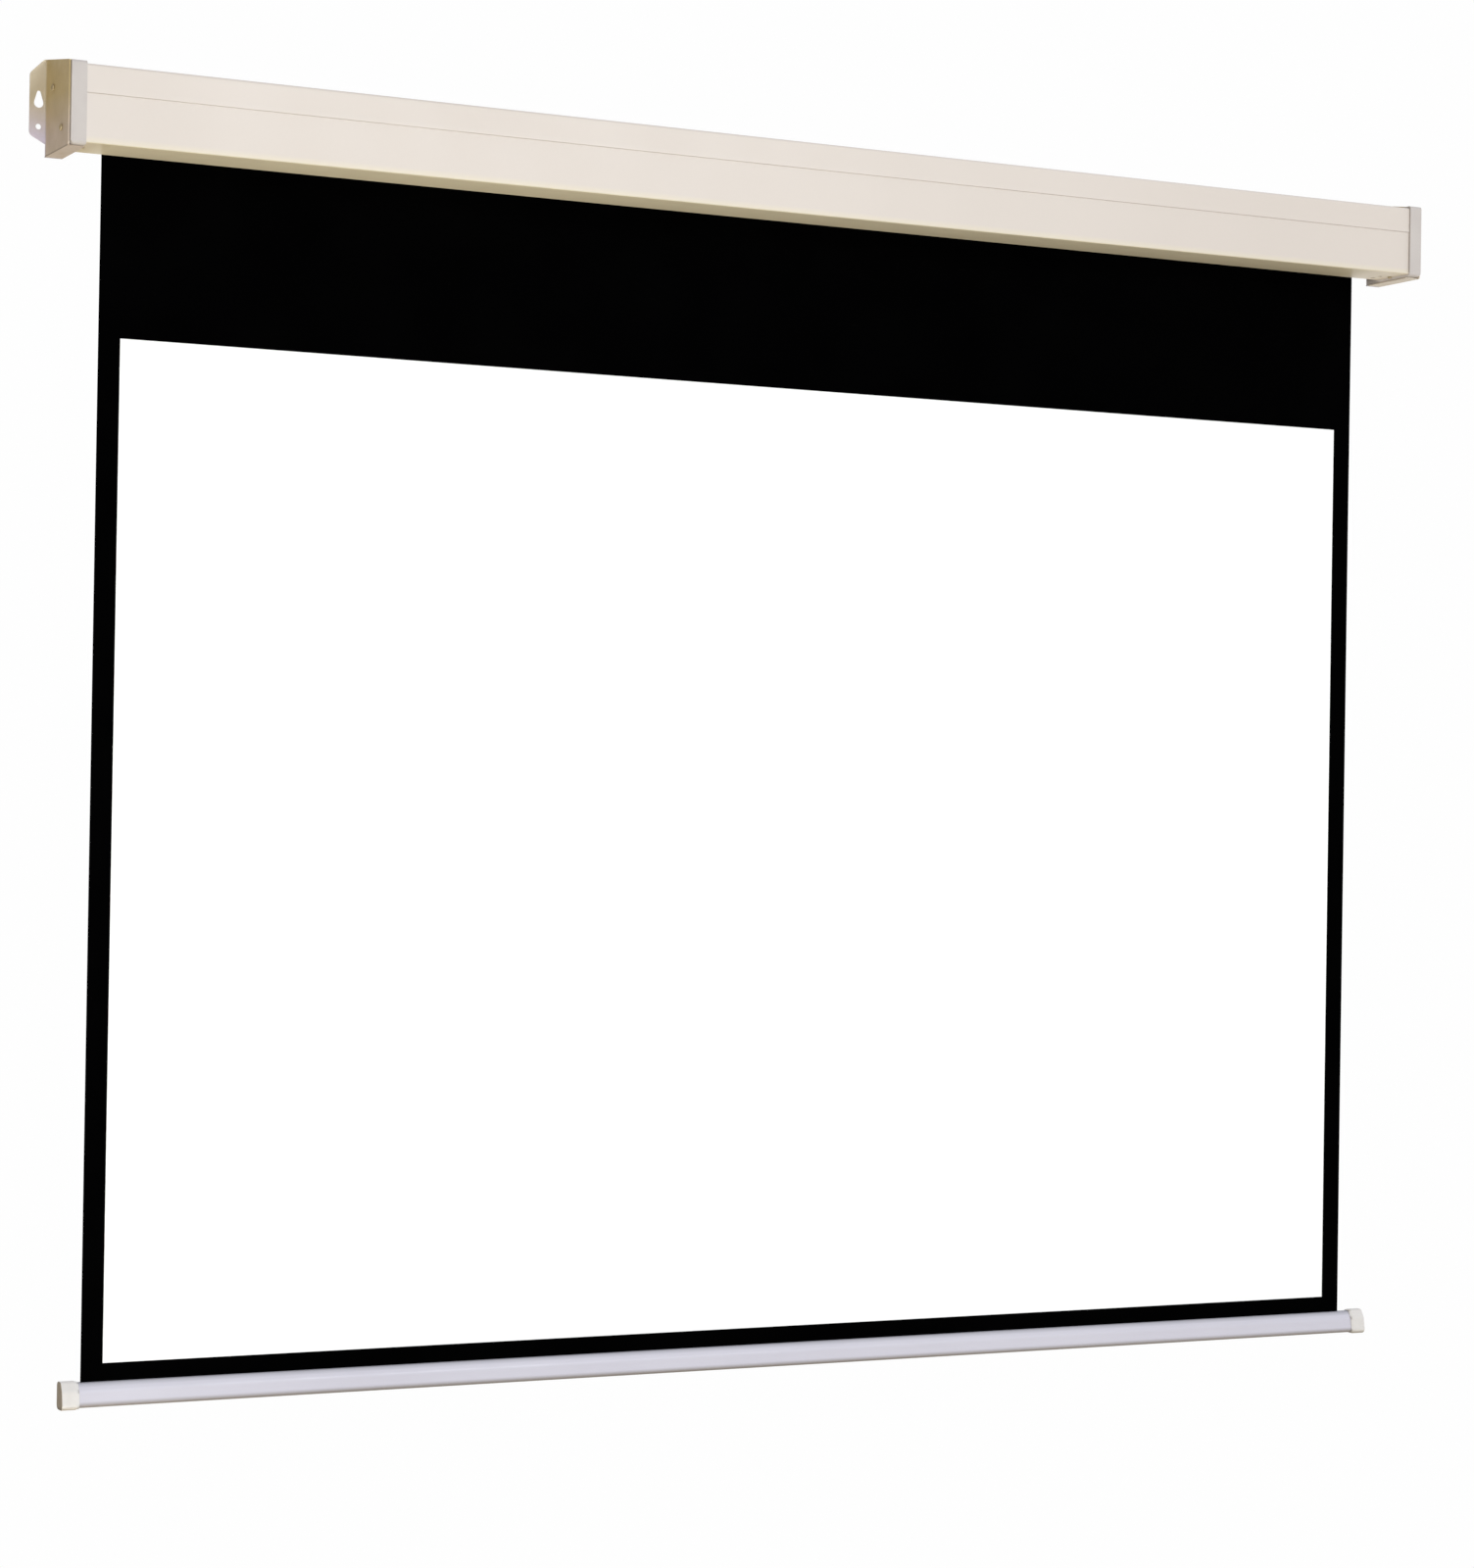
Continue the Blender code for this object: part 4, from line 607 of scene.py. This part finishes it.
def spun(profile):
    """A profile of (height, radius) points spun about Z, closed on the axis at both ends."""
    sides = 32
    mesh = bmesh.new()
    rings = []
    for height, radius in profile:
        if radius <= 0:
            rings.append([mesh.verts.new((0, 0, height))] * sides)
        else:
            turns = [2 * math.pi * i / sides for i in range(sides)]
            rings.append([mesh.verts.new((radius * math.cos(t), radius * math.sin(t), height)) for t in turns])
    for ring, following in zip(rings, rings[1:]):
        for side in range(sides):
            after = (side + 1) % sides
            corners = list(dict.fromkeys((ring[side], ring[after], following[after], following[side])))
            if len(corners) > 2:
                mesh.faces.new(corners)
    return mesh


# Fabric


def cloth_grid(columns, rows, place, look):
    """A closed sheet of cloth.

    place gives the middle point and the direction out of the front for a column and row. look gives the material's
    index for the middle of a field and its side, which is 1 at the front and -1 at the back.
    """
    mesh = bmesh.new()
    sides = []
    for sign in (1, -1):
        grid = []
        for row in rows:
            placed = [place(column, row) for column in columns]
            grid.append([mesh.verts.new(point + out * sign * FABRIC_THICKNESS / 2) for point, out in placed])
        sides.append(grid)
    last_row, last_column = len(rows) - 1, len(columns) - 1
    for sign, grid in zip((1, -1), sides):
        for r in range(last_row):
            for c in range(last_column):
                corners = (grid[r][c], grid[r][c + 1], grid[r + 1][c + 1], grid[r + 1][c])
                face = mesh.faces.new(corners if sign > 0 else corners[::-1])
                face.material_index = look((columns[c] + columns[c + 1]) / 2, (rows[r] + rows[r + 1]) / 2, sign)
    front, back = sides
    for c in range(last_column):
        mesh.faces.new((front[0][c + 1], front[0][c], back[0][c], back[0][c + 1]))
        mesh.faces.new((front[last_row][c], front[last_row][c + 1], back[last_row][c + 1], back[last_row][c]))
    for r in range(last_row):
        mesh.faces.new((front[r][0], front[r + 1][0], back[r + 1][0], back[r][0]))
        mesh.faces.new(
            (front[r + 1][last_column], front[r][last_column], back[r][last_column], back[r + 1][last_column])
        )
    return mesh


def steps_between(low, high, count):
    """The values from low to high in count equal steps."""
    return [low + (high - low) * i / count for i in range(count + 1)]


def limited(value):
    """The value, kept between 0 and 1."""
    return max(0.0, min(1.0, value))


def projection_fabric():
    """Black masking cloth with the white picture in it, from the roller down to the bottom border."""
    low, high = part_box("masking_fabric")
    plane = (low.y + high.y) / 2
    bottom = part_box("bottom_border")[1].z
    border = 0.887  # X in the middle of a side border
    columns = [-FABRIC_HALF, -border, *steps_between(-PICTURE_HALF, PICTURE_HALF, 96), border, FABRIC_HALF]
    rows = steps_between(FABRIC_END, PICTURE_TOP, 12)[:-1] + steps_between(PICTURE_TOP, bottom, 60)

    def place(x, z):
        share = limited((WAVES_TOP - z) / WAVES_GROWTH) * limited((z - bottom) / WAVES_FADE)
        # Two waves across, 0.46 and 0.27 m long, of which the second one slants down the cloth
        wave = math.sin(2 * math.pi * x / 0.46 + 0.7) + 0.6 * math.sin(2 * math.pi * (x / 0.27 + 0.25 * z))
        edge = (abs(x) / FABRIC_HALF) ** 6
        return Vector((x, plane + share * (WAVE_DEPTH * wave + EDGE_DEPTH * edge), z)), Vector((0, -1, 0))

    def look(x, z, sign):
        if sign < 0:
            return 2
        return int(abs(x) < PICTURE_HALF and z < PICTURE_TOP)

    piece = new_piece(
        "projection_fabric", cloth_grid(columns, rows, place, look), "white_fabric", "case",
        ["masking_fabric", "picture_panel"], ["black_fabric", "white_fabric", "black_backing"],
    )
    sharpen(piece)
    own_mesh(piece)


def border_fabric():
    """The black border between the picture and the weight bar, down into the bar's slot."""
    low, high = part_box("bottom_border")
    plane = (low.y + high.y) / 2
    columns = steps_between(-FABRIC_HALF, FABRIC_HALF, 60)
    rows = steps_between(high.z, low.z, 6)

    def place(x, z):
        return Vector((x, plane, z)), Vector((0, -1, 0))

    piece = new_piece(
        "bottom_border_fabric", cloth_grid(columns, rows, place, lambda x, z, sign: int(sign < 0)), "black_fabric",
        "bar", ["bottom_border"], ["black_fabric", "black_backing"],
    )
    sharpen(piece)


def wound_turns():
    """The turns that stay on the roller, as one strip of cloth that starts under the tape."""
    low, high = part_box("roller_tube")
    axis_y, axis_z = (low.y + high.y) / 2, (low.z + high.z) / 2
    fields_per_turn = 96
    count = round(ROLL_TURNS * fields_per_turn)
    columns = steps_between(-FABRIC_HALF, FABRIC_HALF, 24)
    rows = list(range(count + 1))

    def place(x, step):
        turn = ROLL_TURNS * (1 - step / count)
        radius = ROLL_START + ROLL_PITCH * (ROLL_TURNS - turn)
        angle = 2 * math.pi * turn
        out = Vector((0, math.cos(angle), math.sin(angle)))
        return Vector((x, axis_y, axis_z)) + out * radius, out

    piece = new_piece(
        "wound_fabric_turns", cloth_grid(columns, rows, place, lambda x, z, sign: int(sign > 0)), "black_fabric",
        "roller", ["wound_fabric"], ["black_fabric", "black_backing"],
    )
    sharpen(piece)


# Housing


def tighten_bend(mesh, face, edge, up, lift):
    """Gives the bend at the crease its smaller radius and moves its edge by lift towards the other sheet.

    face is the sheet's front in Y, edge the level where it ends, and up is 1 where the sheet lies above it. Of the
    bend only the outer side gets the new radius.
    """
    old = Vector((face + SHEET_BEND, edge + up * SHEET_BEND))
    new = Vector((face + CREASE_RADIUS, edge + up * CREASE_RADIUS))
    for vert in mesh.verts:
        place = Vector((vert.co.y, vert.co.z))
        reach = place - old
        if reach.x < TINY and up * reach.y < TINY and reach.length > 0.9 * SHEET_BEND:
            place = new + reach * CREASE_RADIUS / SHEET_BEND
        elif abs(place.y - edge) > EDGE_TOLERANCE or place.x > face + CREASE_REACH:
            continue
        vert.co.y, vert.co.z = place.x, place.y - up * lift


def meet_caps(mesh):
    """Brings the sheet's ends to the end caps, with a joint as fine as it shows."""
    for vert in mesh.verts:
        if abs(vert.co.x) > SHEET_END - LEVEL_TOLERANCE:
            vert.co.x = math.copysign(SHEET_JOINT, vert.co.x)


def strip_shape(mesh):
    """The upper sheet's front, which flares a little above the crease."""
    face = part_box("upper_housing")[0].y
    start = STRIP_EDGE + FLARE_START
    everything = mesh.verts[:] + mesh.edges[:] + mesh.faces[:]
    bmesh.ops.bisect_plane(mesh, geom=everything, dist=TINY, plane_co=(0, 0, start), plane_no=(0, 0, 1))
    tighten_bend(mesh, face, STRIP_EDGE, up=1, lift=0.0002)
    for vert in mesh.verts:
        if vert.co.y < face + FRONT_DEPTH and vert.co.z < start - TINY:
            vert.co.y -= FLARE_DEPTH * limited((start - vert.co.z) / FLARE_HEIGHT)
    meet_caps(mesh)


def rim_shape(mesh):
    """Gives the side of the cap that faces the housing a material of its own, which on the right cap paints light
    and shade.
    """
    for face in mesh.faces:
        face.material_index = int(in_planes(face, CAP_JOINT))


def cover_shape(mesh):
    """The lower sheet, whose lip's underside gets its own copy of the paint, with painted light and shade."""
    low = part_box("front_cover")[0]
    tighten_bend(mesh, low.y, COVER_EDGE, up=-1, lift=0.00025)
    meet_caps(mesh)
    for face in mesh.faces:
        face.material_index = int(all(vert.co.z < low.z + LEVEL_TOLERANCE for vert in face.verts))


# Weight bar


def bar_caps():
    """Moulded caps with a tapered rim and a rounded end, open towards the bar."""
    bar_low, bar_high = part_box("weight_bar")
    middle = Vector((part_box("bottom_border")[0].y + FABRIC_THICKNESS / 2, (bar_low.z + bar_high.z) / 2))
    rim_wall, rim_length = 0.0007, 0.0045
    rounding, rounding_steps = 0.0010, 6
    clearance, closed_end, overlap = 0.0003, 0.003, 0.002

    def outline(grow):
        corners = [corner + middle for corner in grown(BAR_SECTION, grow)]
        return rounded(corners, [radius + grow for radius in BAR_RADII])

    for node, side in (("bar_cap_left", -1), ("bar_cap_right", 1)):
        low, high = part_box(node)
        start, end = (low.x, high.x) if side > 0 else (high.x, low.x)
        length = abs(end - start)
        sections = [(start, outline(rim_wall)), (start + side * rim_length, outline(BAR_CAP_WALL))]
        for angle in steps_between(0, math.pi / 2, rounding_steps):
            reach = length - rounding + rounding * math.sin(angle)
            sections.append((start + side * reach, outline(BAR_CAP_WALL - rounding * (1 - math.cos(angle)))))
        piece = new_piece(f"{node}_detailed", lofted(sections), SLOTS[node], "bar", [node])
        hollow = outline(clearance)
        cut(piece, lofted([(start - side * overlap, hollow), (end - side * closed_end, hollow)]))
        sharpen(piece)
        even_shading(piece)


# Screws


def screw_profile(length, head_height, head_radius, shank_radius):
    """A pan head above Z = 0 and a threaded shank below it, as (height, radius) points from tip to top."""
    tip, root, crest, neck = (shank_radius * share for share in (0.5, 0.80, 0.99, 0.85))
    pitch, first_root = shank_radius * 0.45, shank_radius * 0.7
    profile = [(-length, 0), (-length, tip)]
    for i in range(int((length - shank_radius) / pitch)):
        level = -length + first_root + i * pitch
        profile += [(level, root), (level + pitch / 2, crest)]
    seat, rim_level = head_radius * 0.96, head_height * 0.10
    profile += [(0, neck), (0, seat), (rim_level, head_radius)]
    # The dome starts at 0.42 of the head's height and ends in a flat top of 0.28 of its radius
    for angle in steps_between(0, math.pi / 2, 6):
        height, radius = 0.42 + 0.58 * math.sin(angle), 0.28 + 0.72 * math.cos(angle)
        profile.append((head_height * height, head_radius * radius))
    return [*profile, (head_height, 0)]


def recess(turn, head_height, head_radius):
    """One groove of a cross recess, which narrows towards its floor."""
    half_width, reach, depth = head_radius * 0.13, head_radius * 0.56, head_height * 0.62
    above_head, floor_share = head_height * 1.2, 0.45
    groove = bmesh.new()
    bmesh.ops.create_cube(groove, size=1)
    for vert in groove.verts:
        share, level = (1.0, above_head) if vert.co.z > 0 else (floor_share, head_height - depth)
        x, y = vert.co.x * 2 * reach * share, vert.co.y * 2 * half_width
        vert.co = Matrix.Rotation(turn, 4, "Z") @ Vector((x, y, level))
    return groove


def screw(node, direction, head_height, shank_radius):
    """A pan-head screw with a cross recess, in the place of its node. direction points out of its head."""
    low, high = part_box(node)
    out = Vector(direction)
    half = abs((high - low).dot(out)) / 2
    top = (low + high) / 2 + out * half
    head_radius = max(extent for extent, along in zip(high - low, out) if abs(along) < 0.5) / 2
    profile = screw_profile(2 * half - head_height, head_height, head_radius, shank_radius)
    piece = new_piece(f"{node}_detailed", spun(profile), SLOTS[node], nodes[node]["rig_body"], [node])
    for turn in (0, math.pi / 2):
        cut(piece, recess(turn, head_height, head_radius))
    upright = Vector((0, 0, 1)).rotation_difference(out).to_matrix().to_4x4()
    piece.data.transform(Matrix.Translation(top - out * head_height) @ upright)
    sharpen(piece, 35)
    even_shading(piece)


def screws():
    """Every screw of both ends."""
    for end, side in (("left", -1), ("right", 1)):
        for number in (1, 2):
            screw(f"bracket_screw_{end}_{number}", (side, 0, 0), head_height=0.0022, shank_radius=0.002)
        screw(f"housing_screw_{end}", (0, 0, 1), head_height=0.0018, shank_radius=0.0015)
        screw(f"cover_screw_{end}", (0, 0, -1), head_height=0.0018, shank_radius=0.0015)


# Light and ground


def world_light():
    """White behind the object, and soft light on it that is warmer from below and darker from the left."""
    world = bpy.data.worlds.new("studio")
    scene.world = world
    world.use_nodes = True
    tree = world.node_tree
    background = tree.nodes["Background"]
    coords = tree.nodes.new("ShaderNodeTexCoord")
    split = tree.nodes.new("ShaderNodeSeparateXYZ")
    wire(tree, coords.outputs["Generated"], split.inputs["Vector"])
    height = spread(tree, split.outputs["Z"], 0, 1, start=-0.85, end=-0.1)
    side = spread(tree, split.outputs["X"], 0, 1, start=-0.8, end=0.2)
    upright = blend(tree, height, (0.90, 0.76, 0.54), (0.92, 0.95, 1.0))
    leftward = blend(tree, side, (0.34, 0.28, 0.20), (1.0, 1.0, 1.0))
    light = blend(tree, 1.0, upright, leftward, "MULTIPLY")
    path = tree.nodes.new("ShaderNodeLightPath")
    seen = blend(tree, path.outputs["Is Camera Ray"], light, (0.992, 0.992, 0.992))
    wire(tree, seen, background.inputs["Color"])


def soft_box(name, place, target, size, power, colour, spread_angle):
    """A rectangular lamp at place that points at target."""
    data = bpy.data.lights.new(name, "AREA")
    data.spread = math.radians(spread_angle)
    data.shape = "RECTANGLE"
    data.size, data.size_y = size
    data.energy = power
    data.color = colour
    lamp = linked(name, data)
    lamp.location = place
    lamp.rotation_euler = (Vector(target) - Vector(place)).to_track_quat("-Z", "Y").to_euler()


def floor():
    """A pale round floor under the screen, which fades out at its rim."""
    mesh = bmesh.new()
    bmesh.ops.create_circle(mesh, cap_ends=True, segments=96, radius=FLOOR_RADIUS)
    ground = mesh_object("floor", mesh)
    ground.location = FLOOR_PLACE
    made = bpy.data.materials.new("pale floor")
    made.use_nodes = True
    tree = made.node_tree
    shader = tree.nodes["Principled BSDF"]
    coords = tree.nodes.new("ShaderNodeTexCoord").outputs["Object"]
    speckle = noise(tree, coords, 0.004)
    colour = blend(tree, spread(tree, speckle, 0, 1), (0.84, 0.78, 0.66), (0.88, 0.82, 0.70))
    wire(tree, colour, shader.inputs["Base Color"])
    shader.inputs["Roughness"].default_value = 0.8
    distance = tree.nodes.new("ShaderNodeVectorMath")
    distance.operation = "LENGTH"
    wire(tree, coords, distance.inputs[0])
    wire(tree, spread(tree, distance.outputs["Value"], 1, 0, *FLOOR_FADE), shader.inputs["Alpha"])
    ground.data.materials.append(made)


# Everything together


def build():
    """Makes the camera, the light, every piece and the materials of the nodes that stay."""
    aim_camera()
    world_light()
    for lamp in LAMPS:
        soft_box(*lamp)
    floor()
    wound_turns()
    projection_fabric()
    border_fabric()
    finer("upper_housing", reshape=strip_shape, joint=SHEET_JOINT)
    finer("front_cover", reshape=cover_shape, joint=SHEET_JOINT, looks=["cream_paint", "lip_paint"])
    finer("slot_guide", width=0.0002)
    for end, rim, paint in (
        ("left", "cap_plastic", "bracket_paint"), ("right", "cap_rim_painted_light", "right_bracket_painted_light")
    ):
        finer(
            f"end_cap_{end}", width=0.0006, steps=4, reshape=rim_shape, joint=CAP_JOINT, joint_width=0.0019,
            looks=["cap_plastic", rim],
        )
        finer(f"wall_bracket_{end}", looks=[paint])
    finer("weight_bar", width=0.0002)
    bar_caps()
    screws()
    for node in PLAIN_NODES:
        finer(node)
    for name, obj in nodes.items():
        for material_slot in obj.material_slots:
            material_slot.material = MATERIALS[SLOTS[name]]
    scene.view_settings.view_transform = "Standard"


build()
